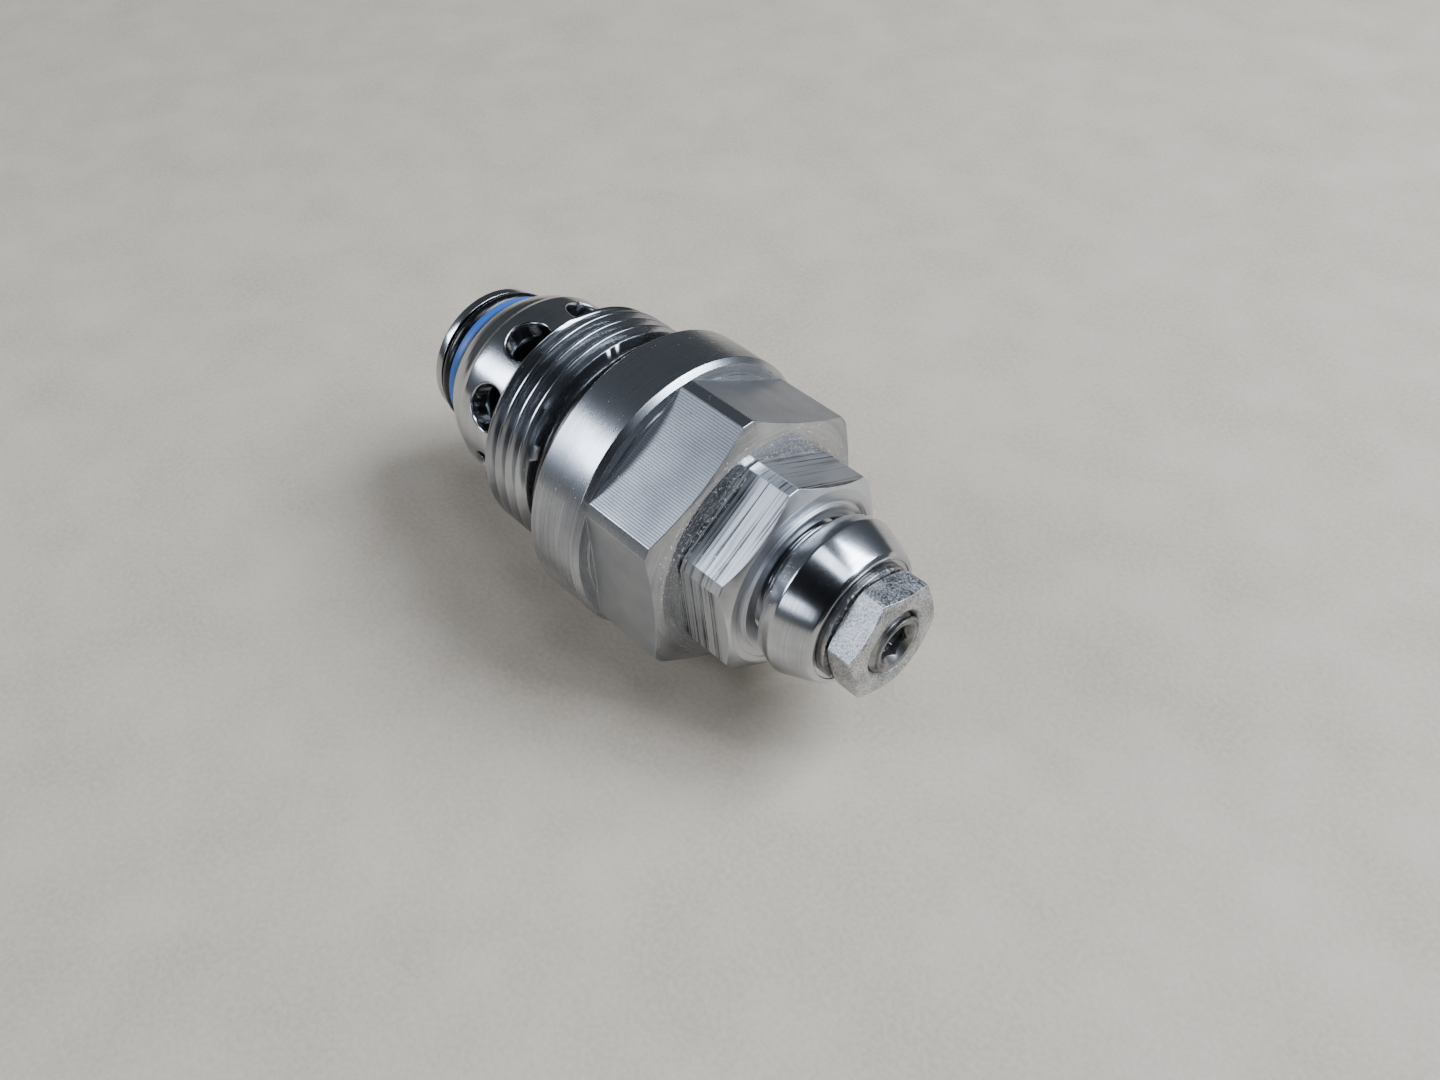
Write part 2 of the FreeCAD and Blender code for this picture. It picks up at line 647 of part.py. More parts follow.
outlet_holes(sleeve)
drilled_along(sleeve, "sleeve_drain", drain_hole, drain_circle, chamber_front - DRAW_CLEARANCE,
              sleeve_end - chamber_front + 2 * DRAW_CLEARANCE, DRAIN_HOLES)
pieces.append(sleeve)

pieces.append(ring("sleeve_retaining_ring", spigot_radius, wire_radius - fitted, wire_centre,
                   WIRE_RING_SPAN))

# Seals outside: the O-ring and its backup ring in the nose groove keep the inlet from the outlet,
# and the O-ring in the groove behind the collar keeps the outlet from the air.

pieces.append(turned("nose_backup_ring", [
    (backup_back, nose_root + fitted),
    (backup_back, backup_radius),
    (backup_back + backup_width, backup_radius),
    (backup_back + backup_width, nose_root + fitted),
]))
pieces.append(ring("nose_o_ring", nose_centre, nose_cord,
                   backup_back - nose_cord - fitted))
pieces.append(ring("port_o_ring", port_centre, port_cord, -(port_cord + fitted)))

# Main poppet: a hollow piston with a 45 degree nose. A small screw in the nose meters oil into the
# spring's chamber. Three balance grooves keep the piston central.

orifice_end = poppet_back + orifice_length
poppet = turned("main_poppet", [
    (poppet_back, orifice_thread),
    (poppet_back, poppet_tip),
    (poppet_back + (poppet_radius - poppet_tip), poppet_radius),
    (poppet_front - edge_break, poppet_radius),
    (poppet_front, poppet_radius - edge_break),
    (poppet_front, poppet_pocket),
    (pocket_floor, poppet_pocket),
    (pocket_floor, orifice_passage),
    (orifice_end, orifice_passage),
    (orifice_end, orifice_thread),
])
balance_start = poppet_front - balance_place
balance_groove = turned_groove(poppet, "balance_groove", [
    (balance_start, poppet_radius - balance_depth),
    (balance_start, poppet_radius + DRAW_CLEARANCE),
    (balance_start + balance_width, poppet_radius + DRAW_CLEARANCE),
    (balance_start + balance_width, poppet_radius - balance_depth),
])
repeated_groove(poppet, balance_groove, balance_pitch, balance_start,
                balance_start + balance_pitch * (BALANCE_GROOVES + 0.5))
pieces.append(poppet)

orifice = turned("orifice_screw", [
    (poppet_back + fitted, orifice_bore),
    (poppet_back + fitted, orifice_thread - thread_clearance),
    (orifice_end - fitted, orifice_thread - thread_clearance),
    (orifice_end - fitted, orifice_bore),
])
cut_socket(orifice, "orifice_socket", poppet_back + fitted, orifice_socket, orifice_flats, 1)
pieces.append(orifice)

pieces.append(coil_spring("main_spring", pocket_floor, main_spring_front, main_coil, main_wire,
                          MAIN_SPRING_TURNS))

# Pilot seat: a hardened insert clamped between the sleeve's end and the body's shoulder, sealed in
# the sleeve's bore. Four holes and slots in its flange lead the pilot's oil to the sleeve's drillings.

seat_spigot_radius = poppet_bore - running
seat_ring_place = seat_end + seat_spigot * 0.5
seat_groove_back = seat_ring_place - seat_cord - fitted
seat_groove_front = seat_ring_place + seat_cord + fitted
seat_groove_root = poppet_bore - seat_cord * 2 - fitted * 2
seat = turned("pilot_seat", [
    (seat_end, poppet_pocket),
    (seat_end, seat_spigot_radius),
    (seat_groove_back, seat_spigot_radius),
    (seat_groove_back, seat_groove_root),
    (seat_groove_front, seat_groove_root),
    (seat_groove_front, seat_spigot_radius),
    (sleeve_end, seat_spigot_radius),
    (sleeve_end, spigot_radius - thread_clearance),
    (flange_front, spigot_radius - thread_clearance),
    (flange_front, hub_radius),
    (pilot_edge, hub_radius),
    (pilot_edge, pilot_hole),
    (pilot_edge - pilot_hole_depth, pilot_hole),
    (pilot_edge - pilot_hole_depth, pilot_drill),
    (main_spring_front, pilot_drill),
    (main_spring_front, poppet_pocket),
], SLEEVE_TURN)
drilled_along(seat, "seat_drain", drain_hole, drain_circle, sleeve_end - DRAW_CLEARANCE,
              seat_flange + 2 * DRAW_CLEARANCE, DRAIN_HOLES)


def drain_slots(body):
    """Radial slots in the flange's front face, from the hub out to the drain holes."""
    before = body.Shape.Volume
    sketch = new_sketch(body, "drain_slot_outline", "YZ_Plane")
    sketch.setExpression("AttachmentOffset.Base.z", (flange_front - seat_slot).text)
    closed_outline(sketch, [
        (-drain_hole, hub_radius - DRAW_CLEARANCE),
        (drain_hole, hub_radius - DRAW_CLEARANCE),
        (drain_hole, drain_circle + drain_hole),
        (-drain_hole, drain_circle + drain_hole),
    ])
    pocket = body.newObject("PartDesign::Pocket", "drain_slot")
    pocket.Profile = sketch
    pocket.Reversed = True
    pocket.setExpression("Length", (seat_slot + DRAW_CLEARANCE).text)
    removes_metal(body, pocket, before)
    return round_the_axis(body, pocket, DRAIN_HOLES)


drain_slots(seat)
pieces.append(seat)
pieces.append(ring("pilot_seat_o_ring", poppet_bore - seat_cord - fitted, seat_cord,
                   seat_ring_place))

# Pilot cone: a 60 degree cone on a flange that carries the pilot spring, with a stem inside it.

pieces.append(turned("pilot_cone", [
    (cone_tip, 0),
    (cone_tip, cone_blunt),
    (cone_base, cone_radius),
    (cone_flange_back, cone_radius),
    (cone_flange_back, cone_flange),
    (cone_flange_front, cone_flange),
    (cone_flange_front, cone_stem),
    (cone_flange_front + cone_stem_length, cone_stem),
    (cone_flange_front + cone_stem_length, 0),
]))
pieces.append(coil_spring("pilot_spring", cone_flange_front, plunger_back, pilot_coil, pilot_wire,
                          PILOT_SPRING_TURNS))

# Adjusting plug: its polished bell is the part that shows. The M16 shank screws into the body, and
# its bore takes the pilot spring and plunger. The set screw is tapped through the bell's front wall.

plug = turned("adjusting_plug", [
    (plug_end, plug_bore),
    (plug_end, plug_nose - edge_break),
    (plug_end + edge_break, plug_nose),
    (plug_groove_back, plug_nose),
    (plug_groove_back, plug_root),
    (plug_groove_front, plug_root),
    (plug_groove_front, plug_nose),
    (plug_shank_start, plug_nose),
    (plug_shank_start + edge_break, plug_crest),
    (bell_start - undercut_width, plug_crest),
    (bell_start - undercut_width, undercut_radius),
    (bell_start, undercut_radius),
    (bell_start, bell_back - edge_break * 0.5),
    (bell_start + edge_break * 0.5, bell_back),
    (ridge_place, bell_ridge),
    (ridge_place + edge_break * 0.5, bell_ridge),
    (taper_end, bell_front),
    (taper_end + bell_rim, bell_front - bell_rim),
    (taper_end + bell_rim, recess_radius),
    (washer_seat, recess_radius),
    (washer_seat, screw_radius + edge_break),
    (washer_seat - edge_break, screw_radius),
    (set_screw_tapping, screw_radius),
    (set_screw_tapping, plug_bore),
])
thread_rings(plug, "plug_thread_ring", plug_shank_start + edge_break, bell_start - undercut_width,
             plug_crest, plug_pitch)
pieces.append(plug)
pieces.append(ring("plug_o_ring", guide_bore - plug_cord - running, plug_cord,
                   plug_groove_back + plug_groove * 0.5))

# Plunger: turns the set screw's travel into pilot spring load, and seals the plug's bore.

plunger_groove_front = screw_back - plunger_end
plunger_groove_back = plunger_groove_front - plunger_groove
pieces.append(turned("spring_plunger", [
    (plunger_back - plunger_hub_length, 0),
    (plunger_back - plunger_hub_length, plunger_hub),
    (plunger_back, plunger_hub),
    (plunger_back, plunger_radius),
    (plunger_groove_back, plunger_radius),
    (plunger_groove_back, plunger_root),
    (plunger_groove_front, plunger_root),
    (plunger_groove_front, plunger_radius),
    (screw_back, plunger_radius),
    (screw_back, 0),
]))
pieces.append(ring("plunger_o_ring", plug_bore - plunger_cord - plunger_clearance, plunger_cord,
                   plunger_groove_back + plunger_groove * 0.5))

# Set screw: M8 with a plain dog point on the plunger and a countersunk hex socket in front.

screw_root = screw_crest - screw_pitch * THREAD_DEPTH
screw_thread_back = screw_back + tip_length
socket_floor = screw_front - socket_sink
set_screw = turned("set_screw", [
    (screw_back, 0),
    (screw_back, screw_tip),
    (screw_thread_back, screw_tip),
    (screw_thread_back, screw_root),
    (screw_thread_back + (screw_crest - screw_root), screw_crest),
    (screw_front - edge_break, screw_crest),
    (screw_front, screw_crest - edge_break),
    (screw_front, socket_mouth),
    (socket_floor, socket_corner),
    (socket_floor, 0),
], SOCKET_TURN)
thread_rings(set_screw, "set_screw_ring", screw_thread_back + edge_break, screw_front - edge_break,
             screw_crest, screw_pitch)
cut_socket(set_screw, "set_screw_socket", socket_floor, socket_depth, socket_flats, -1)
pieces.append(set_screw)

# Lock nut: a thin M16 nut with a raised ring on its front face. A plastic ring in its back face
# seals the adjuster thread.

seal_pocket = hex_front + seal_width + seal_room * 2
lock_chamfer = (lock_corner - lock_face) * SLOPE_60
lock_nut = turned("lock_nut", [
    (hex_front, seal_outer + seal_room),
    (hex_front, lock_corner - edge_break * 1.8),
    (hex_front + edge_break * 0.6, lock_corner),
    (lock_nut_front - lock_chamfer, lock_corner),
    (lock_nut_front, lock_face),
    (lock_nut_front, lock_boss),
    (boss_front, lock_boss),
    (boss_front, plug_thread + edge_break),
    (boss_front - edge_break, plug_thread),
    (seal_pocket, plug_thread),
    (seal_pocket, seal_outer + seal_room),
], LOCK_NUT_TURN)
cut_hexagon(lock_nut, "lock_nut_flats", hex_front - DRAW_CLEARANCE,
            lock_length + DRAW_CLEARANCE, lock_flats)
pieces.append(lock_nut)
pieces.append(turned("lock_nut_seal", [
    (hex_front + seal_room, plug_thread),
    (hex_front + seal_room, seal_outer),
    (hex_front + seal_room + seal_width, seal_outer),
    (hex_front + seal_room + seal_width, plug_thread),
]))

# Set screw nut and its seal washer: a thin M8 nut on a soft steel washer in the bell's recess.

pieces.append(turned("nut_seal_washer", [
    (washer_seat, washer_bore),
    (washer_seat, washer_radius),
    (washer_front - edge_break * 0.5, washer_radius),
    (washer_front, washer_radius - edge_break * 0.5),
    (washer_front, washer_bore),
]))
small_chamfer = (small_corner - small_face) * CORNER_SLOPE
small_nut = turned("set_screw_nut", [
    (washer_front, screw_radius + edge_break),
    (washer_front, small_face),
    (washer_front + small_chamfer, small_corner),
    (small_nut_front - small_chamfer, small_corner),
    (small_nut_front, small_face),
    (small_nut_front, screw_radius + edge_break * 1.25),
    (small_nut_front - edge_break * 1.25, screw_radius),
    (washer_front + edge_break, screw_radius),
], SMALL_NUT_TURN)
cut_hexagon(small_nut, "small_nut_flats", washer_front - DRAW_CLEARANCE,
            small_length + 2 * DRAW_CLEARANCE, small_flats)
pieces.append(small_nut)


# Check the document, then write each piece ----------------------------------------------------

doc.recompute()
for item in doc.Objects:
    if "Invalid" in item.State or "Error" in item.State:
        raise ValueError(f"{item.Label} did not build")
for piece in pieces:
    if piece.Shape.isNull() or not piece.Shape.isValid():
        raise ValueError(f"{piece.Label} has no valid shape")
    if len(piece.Shape.Solids) != 1:
        raise ValueError(f"{piece.Label} has {len(piece.Shape.Solids)} solids")

os.makedirs("parts", exist_ok=True)
for piece in pieces:
    piece.Shape.exportStep(f"parts/{piece.Label}.step")
    box = piece.Shape.BoundBox
    print(f"{piece.Label:24s} {piece.Shape.Volume:10.2f} mm3   x {box.XMin:8.3f} to {box.XMax:8.3f}")
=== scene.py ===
"""Screw-in hydraulic relief cartridge valve, lying on a bench with its nose pointing away.

The valve's axis is X, with the nose at -X and the adjusters at +X. Lengths in this file are in
millimetres until a piece's mesh is filled, and one corner of the body's hexagon points straight up.
"""

import json

import bmesh
import bpy
import numpy as np
from mathutils import Matrix, Vector

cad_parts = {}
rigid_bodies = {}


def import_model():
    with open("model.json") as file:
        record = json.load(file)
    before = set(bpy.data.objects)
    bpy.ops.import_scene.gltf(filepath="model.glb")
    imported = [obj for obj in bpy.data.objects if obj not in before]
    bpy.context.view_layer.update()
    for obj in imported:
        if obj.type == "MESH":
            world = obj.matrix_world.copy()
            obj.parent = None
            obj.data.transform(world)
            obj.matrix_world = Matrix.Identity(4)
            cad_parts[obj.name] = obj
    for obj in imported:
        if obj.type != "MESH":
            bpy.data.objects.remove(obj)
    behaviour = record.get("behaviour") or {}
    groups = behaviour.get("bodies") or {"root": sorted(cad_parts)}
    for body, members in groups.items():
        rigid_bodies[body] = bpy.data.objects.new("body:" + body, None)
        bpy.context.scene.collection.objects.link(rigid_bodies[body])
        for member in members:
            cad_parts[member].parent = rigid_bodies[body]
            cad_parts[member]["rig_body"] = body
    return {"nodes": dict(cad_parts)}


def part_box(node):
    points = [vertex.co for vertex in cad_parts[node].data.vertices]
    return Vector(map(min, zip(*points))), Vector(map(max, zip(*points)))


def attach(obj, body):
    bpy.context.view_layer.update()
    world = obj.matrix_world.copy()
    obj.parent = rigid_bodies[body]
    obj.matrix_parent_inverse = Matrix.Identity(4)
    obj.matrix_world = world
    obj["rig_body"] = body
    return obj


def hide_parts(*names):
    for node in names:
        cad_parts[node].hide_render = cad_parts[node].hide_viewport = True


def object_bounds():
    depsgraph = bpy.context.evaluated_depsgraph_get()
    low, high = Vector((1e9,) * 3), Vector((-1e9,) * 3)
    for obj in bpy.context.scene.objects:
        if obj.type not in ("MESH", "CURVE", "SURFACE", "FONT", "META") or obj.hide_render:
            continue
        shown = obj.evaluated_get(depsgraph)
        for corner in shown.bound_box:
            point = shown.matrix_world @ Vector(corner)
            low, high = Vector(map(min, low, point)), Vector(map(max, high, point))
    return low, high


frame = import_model()
cad_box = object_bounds()

# Camera -----------------------------------------------------------------------------------------
# It looks down on the adjuster's end from the front left, with the nose running away from it.

MM = 0.001
CAMERA_PLACE = Vector((98.8, -75.9, 115.0)) * MM
CAMERA_AIM = Vector((16.0, -2.7, 0.0)) * MM
CAMERA_ROLL = -2.73
SENSOR_WIDTH, FOCAL_LENGTH = 36.0, 33.65
NEAREST_SEEN = 5 * MM

camera = bpy.data.objects.new("camera", bpy.data.cameras.new("camera"))
bpy.context.scene.collection.objects.link(camera)
camera.data.sensor_width = SENSOR_WIDTH
camera.data.lens = FOCAL_LENGTH
camera.data.clip_start = NEAREST_SEEN
aimed = (CAMERA_AIM - CAMERA_PLACE).to_track_quat("-Z", "Y").to_matrix().to_4x4()
camera.matrix_world = (
    Matrix.Translation(CAMERA_PLACE) @ aimed @ Matrix.Rotation(np.radians(CAMERA_ROLL), 4, "Z")
)
bpy.context.scene.camera = camera

# Bench ------------------------------------------------------------------------------------------
# A flat sheet of pale, warm grey wrapping paper. The valve lies on its collar, with its axis level.

BENCH_SIZE = 2600.0
BENCH_PALE = "#C3B8A6"
BENCH_DULL = "#AFA391"
MOTTLE_SIZE, FIBRE_SIZE, FIBRE_HEIGHT = 11.111, 2 / 3, 0.08


def linear(hex_colour):
    """An sRGB hex colour as linear red, green, blue and an alpha of one."""
    encoded = np.array([int(hex_colour[i:i + 2], 16) for i in (1, 3, 5)]) / 255
    low, high = encoded / 12.92, ((encoded + 0.055) / 1.055) ** 2.4
    return (*np.where(encoded <= 0.04045, low, high).tolist(), 1.0)


def feed(tree, node, inputs):
    """Gives a node its inputs. Each value is another node's output to link, or a plain value to set."""
    for socket, value in inputs.items():
        if isinstance(value, bpy.types.NodeSocket):
            tree.links.new(value, node.inputs[socket])
        else:
            node.inputs[socket].default_value = value


def add_node(tree, kind, inputs=None, **settings):
    """Adds one node with its settings, such as operation, and its inputs."""
    node = tree.nodes.new(kind)
    for name, value in settings.items():
        setattr(node, name, value)
    feed(tree, node, inputs or {})
    return node


def new_finish(name):
    """An empty material and its shader node, joined to the output."""
    material = bpy.data.materials.new(name)
    material.use_nodes = True
    material.node_tree.nodes.clear()
    shader = add_node(material.node_tree, "ShaderNodeBsdfPrincipled")
    add_node(material.node_tree, "ShaderNodeOutputMaterial", {"Surface": shader.outputs["BSDF"]})
    return material, material.node_tree, shader


def bench_paper():
    """Uncoated wrapping paper: faint mottling about a centimetre across, fibres, and no gloss."""
    material, tree, shader = new_finish("bench_paper")
    where = add_node(tree, "ShaderNodeTexCoord").outputs["Object"]
    mottle, fibres = (add_node(tree, "ShaderNodeTexNoise", {
        "Vector": where, "Scale": 1 / (size * MM), "Detail": 3.0}) for size in (MOTTLE_SIZE, FIBRE_SIZE))
    both = add_node(tree, "ShaderNodeMath", {0: mottle.outputs["Fac"], 1: fibres.outputs["Fac"]},
                    operation="MULTIPLY")
    amount = add_node(tree, "ShaderNodeMapRange", {
        "Value": both.outputs[0], "From Min": 0.08, "From Max": 0.45})
    colour = add_node(tree, "ShaderNodeMix", {
        "Factor": amount.outputs["Result"], "A": linear(BENCH_PALE), "B": linear(BENCH_DULL),
    }, data_type="RGBA")
    relief = add_node(tree, "ShaderNodeBump", {
        "Height": fibres.outputs["Fac"], "Distance": FIBRE_HEIGHT * MM})
    feed(tree, shader, {"Base Color": colour.outputs["Result"], "Normal": relief.outputs["Normal"],
                        "Roughness": 0.85})
    return material


half_bench = BENCH_SIZE * MM / 2
floor_height = cad_box[0].z
bench_corners = [(x * half_bench, y * half_bench, floor_height)
                 for x, y in ((-1, -1), (1, -1), (1, 1), (-1, 1))]
bench_mesh = bpy.data.meshes.new("bench")
bench_mesh.from_pydata(bench_corners, [], [(0, 1, 2, 3)])
bench_mesh.materials.append(bench_paper())
bench = bpy.data.objects.new("bench", bench_mesh)
bpy.context.scene.collection.objects.link(bench)

# Light ------------------------------------------------------------------------------------------
# Three soft strips high up on the right, a skylight overhead and two windows on the left. The room
# is dim, most of all where someone leans over the bench, and the steel mirrors all of it.

STRIP_PLACE, STRIP_STEP = (320, 330, 500), (-105, 105, 0)
STRIP_SIZE, STRIP_WATTS = (110, 380), 3.1
WINDOWS = (
    ("window", (-450, -480, 415), (270, 290), 3.2),
    ("far_window", (90, -640, 250), (300, 170), 0.7),
    ("skylight", (130, 20, 690), (170, 420), 1.1),
)
DAYLIGHT = "#E6EFFF"
ROOM_PALE, ROOM_DARK = "#54585D", "#101113"
LEANING, LEANING_EDGE, LEANING_CORE = (0.46, -0.41, 0.79), 0.35, 0.85


def soft_panel(name, place, wide, high, watts):
    """A flat lamp at a place in mm, wide by high mm, that faces the valve."""
    lamp = bpy.data.lights.new(name, "AREA")
    lamp.shape, lamp.size, lamp.size_y, lamp.energy = "RECTANGLE", wide * MM, high * MM, watts
    lamp.color = linear(DAYLIGHT)[:3]
    panel = bpy.data.objects.new(name, lamp)
    panel.location = Vector(place) * MM
    panel.rotation_euler = (-panel.location).to_track_quat("-Z", "Y").to_euler()
    bpy.context.scene.collection.objects.link(panel)


for number in (-1, 0, 1):
    strip_place = np.array(STRIP_PLACE) + number * np.array(STRIP_STEP)
    soft_panel(f"ceiling_strip_{number + 2}", strip_place, *STRIP_SIZE, STRIP_WATTS)
for name, place, (wide, high), watts in WINDOWS:
    soft_panel(name, place, wide, high, watts)

room = bpy.data.worlds.new("room")
room.use_nodes = True
room_light = room.node_tree.nodes["Background"]
towards = add_node(room.node_tree, "ShaderNodeTexCoord").outputs["Generated"]
nearness = add_node(room.node_tree, "ShaderNodeVectorMath", {0: towards, 1: LEANING},
                    operation="DOT_PRODUCT")
shaded = add_node(room.node_tree, "ShaderNodeMapRange", {
    "Value": nearness.outputs["Value"], "From Min": LEANING_EDGE, "From Max": LEANING_CORE,
}, interpolation_type="SMOOTHSTEP")
room_colour = add_node(room.node_tree, "ShaderNodeMix", {
    "Factor": shaded.outputs["Result"], "A": linear(ROOM_PALE), "B": linear(ROOM_DARK)}, data_type="RGBA")
feed(room.node_tree, room_light, {"Color": room_colour.outputs["Result"]})
bpy.context.scene.world = room

# Valve body -------------------------------------------------------------------------------------
# One piece of bar steel, turned all over on a lathe and then milled with six flats. It carries the
# M32x2 port thread, the groove for the port seal, and the collar that seats on the manifold. Places
# along the axis are measured from that seat, and a thread's own sizes are parts of its pitch.

BODY_CORNER, BODY_FLATS, BODY_FACE = 18.05, 32.0, 15.1
BODY_FRONT_CHAMFER = 1.15
COLLAR_FRONT, HEXAGON_BACK = 7.75, 8.5
LEDGE_RADIUS, LEDGE_WIDTH = 16.7, 0.2
THREAD_END, THREAD_CREST, THREAD_PITCH = -4.7, 15.9, 2.0
RELIEF = 14.17
SPIGOT_BORE, SPIGOT_FLOOR, SEAL_BORE = 11.5, 2.5, 7.0
ADJUSTER_THREAD, ADJUSTER_TAPPING = 8.0, 12.0
EDGE = 0.4
THREAD_DEPTH, HALF_ROOT, FLANK = 0.6134, 0.0625, 0.3541
THREAD_ROWS = np.array([0.0, 0.045, 0.0625, 0.08, 0.24, 0.395, 0.4167, 0.44])
THREAD_SOFTENING = (-0.012, 0, 0.012)
FLAT_STEPS, CORNER_STEPS, EDGE_ANGLE = 30, 4, 0.25
LARGEST_EASE, NO_LENGTH = 0.45, 1e-9
MERGED, DEGENERATE = 2e-4 * MM, 1e-4 * MM


def hexagon_angles(flats, corner, turn):
    """Angles round a hexagon: even steps over each flat, and over each corner where the corners are
    turned, with more close to every edge between them, and the first one again at the end."""
    half, rest = 30.0, [30.0]
    if corner < flats / np.sqrt(3):
        half = np.degrees(np.arccos(flats / 2 / corner))
        rest = [half, *np.linspace(half + EDGE_ANGLE, 60 - half - EDGE_ANGLE, CORNER_STEPS), 60 - half]
    flat = np.linspace(-half + EDGE_ANGLE, half - EDGE_ANGLE, FLAT_STEPS)
    one_side = np.concatenate([flat, rest])
    sides = (one_side[None, :] + 60.0 * np.arange(6)[:, None]).ravel()
    return np.append(sides, sides[0] + 360.0) + turn + 30.0


def from_flat(angles, turn):
    """How many degrees each angle is from the middle of the nearest flat."""
    return (angles - turn) % 60.0 - 30.0


def hexagon_radius(angles, flats, corner, turn):
    """Half the flats over the cosine of the angle from the flat's middle, but never more than the
    radius to which the corners are turned."""
    return np.minimum(flats / 2 / np.cos(np.radians(from_flat(angles, turn))), corner)


def outline(rows, angles):
    """Rows of (x, r), each a number or one number per angle, as an array (rows, angles, 2)."""
    count = len(angles)
    return np.array([[np.broadcast_to(value, count) for value in row] for row in rows]).transpose(0, 2, 1)


def eased(rows, angles, ease=0.08, steps=3):
    """The outline with its inner corners rounded. A corner V between points A and B that lie ease
    before and after it, or nearer on a short side, becomes (1-t)^2 A + 2t(1-t) V + t^2 B."""
    sharp = outline(rows, angles)
    corner, before, after = sharp[1:-1], sharp[:-2] - sharp[1:-1], sharp[2:] - sharp[1:-1]
    long_before = np.linalg.norm(before, axis=-1, keepdims=True)
    long_after = np.linalg.norm(after, axis=-1, keepdims=True)
    start = corner + before * np.minimum(ease / np.maximum(long_before, NO_LENGTH), LARGEST_EASE)
    end = corner + after * np.minimum(ease / np.maximum(long_after, NO_LENGTH), LARGEST_EASE)
    t = np.linspace(0, 1, steps + 1)[None, :, None, None]
    curve = (1 - t) ** 2 * start[:, None] + 2 * t * (1 - t) * corner[:, None] + t ** 2 * end[:, None]
    curve = curve.reshape(-1, *sharp.shape[1:])
    return np.concatenate([sharp[:1], curve, sharp[-1:]])


def around(profile, angles):
    """Carries an outline round the X axis: (x, r) at angle a becomes (x, -r sin a, r cos a)."""
    a = np.radians(angles)
    x, r = profile[..., 0], profile[..., 1]
    return np.stack([x, -r * np.sin(a), r * np.cos(a)], axis=-1)


def thread(start, end, crest, pitch, angles):
    """The outline of a right-hand 60 degree thread. Row j of turn k lies at
    start + pitch (k + place_j + angle / 360), kept between start and end, and its radius goes from
    root to crest with the distance from the groove's middle. A 45 degree cone trims the start."""
    place = np.concatenate([THREAD_ROWS, 1.0 - THREAD_ROWS[:0:-1]])
    turns = np.arange(-1, int(np.ceil((end - start) / pitch)) + 1)
    turn = (angles - angles[0]) / 360.0
    x = start + pitch * ((turns[:, None] + place).ravel()[:, None] + turn)
    x = np.clip(x, start, end)
    along = (x - start) / pitch - turn
    from_groove = np.abs((along + 0.5) % 1.0 - 0.5)
    height = sum(np.clip((from_groove - HALF_ROOT + shift) / FLANK, 0, 1)
                 for shift in THREAD_SOFTENING) / len(THREAD_SOFTENING)
    radius = crest - pitch * THREAD_DEPTH * (1 - height)
    cone = crest - pitch * THREAD_DEPTH + (x - start)
    return np.stack([x, np.minimum(radius, cone)], axis=-1)


def new_piece(name, patches, node, material, marks=None):
    """Joins grids of points, each (rows, columns, xyz) in mm, into one closed mesh that stands for a
    CAD node. marks maps an attribute's name to a function that gives its value at each point."""
    points = np.concatenate([patch.reshape(-1, 3) for patch in patches])
    starts = np.cumsum([0] + [patch.shape[0] * patch.shape[1] for patch in patches[:-1]])
    quads = []
    for patch, start in zip(patches, starts):
        index = start + np.arange(patch.shape[0] * patch.shape[1]).reshape(patch.shape[:2])
        corners = (index[:-1, :-1], index[1:, :-1], index[1:, 1:], index[:-1, 1:])
        quads.append(np.stack(corners, axis=-1).reshape(-1, 4))
    mesh = bpy.data.meshes.new(name)
    mesh.from_pydata(points * MM, [], np.concatenate(quads))
    for mark, value in (marks or {}).items():
        layer = mesh.attributes.new(mark, "FLOAT", "POINT")
        layer.data.foreach_set("value", value(points).astype(np.float32))
    shell = bmesh.new()
    shell.from_mesh(mesh)
    bmesh.ops.remove_doubles(shell, verts=shell.verts, dist=MERGED)
    bmesh.ops.dissolve_degenerate(shell, edges=shell.edges, dist=DEGENERATE)
    bmesh.ops.recalc_face_normals(shell, faces=shell.faces)
    shell.to_mesh(mesh)
    shell.free()
    mesh.polygons.foreach_set("use_smooth", [True] * len(mesh.polygons))
    mesh.materials.append(material)
    piece = bpy.data.objects.new(name, mesh)
    bpy.context.scene.collection.objects.link(piece)
    piece.modifiers.new("flat_faces", "WEIGHTED_NORMAL").mode = "FACE_AREA"
    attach(piece, frame["nodes"][node]["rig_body"])
    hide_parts(node)
    return piece


def box_mm(node):
    """A CAD node's back end, front end and largest radius, in mm."""
    low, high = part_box(node)
    return low.x / MM, high.x / MM, high.z / MM


ON_FLAT = 0.02


def flat_marks(flats, turn):
    """Marks for milled flats: milled is 1 on them, and across is the distance from a flat's middle
    line, at right angles to the axis."""
    def to_flat(points):
        angles = np.degrees(np.arctan2(-points[:, 1], points[:, 2]))
        radius = np.hypot(points[:, 1], points[:, 2])
        offset = np.radians(from_flat(angles, turn))
        return radius * np.cos(offset), radius * np.sin(offset)

    def milled(points):
        return (np.abs(to_flat(points)[0] - flats / 2) < ON_FLAT).astype(float)

    def across(points):
        return to_flat(points)[1]

    return {"milled": milled, "across": across}


FACE_SPREAD = 0.6


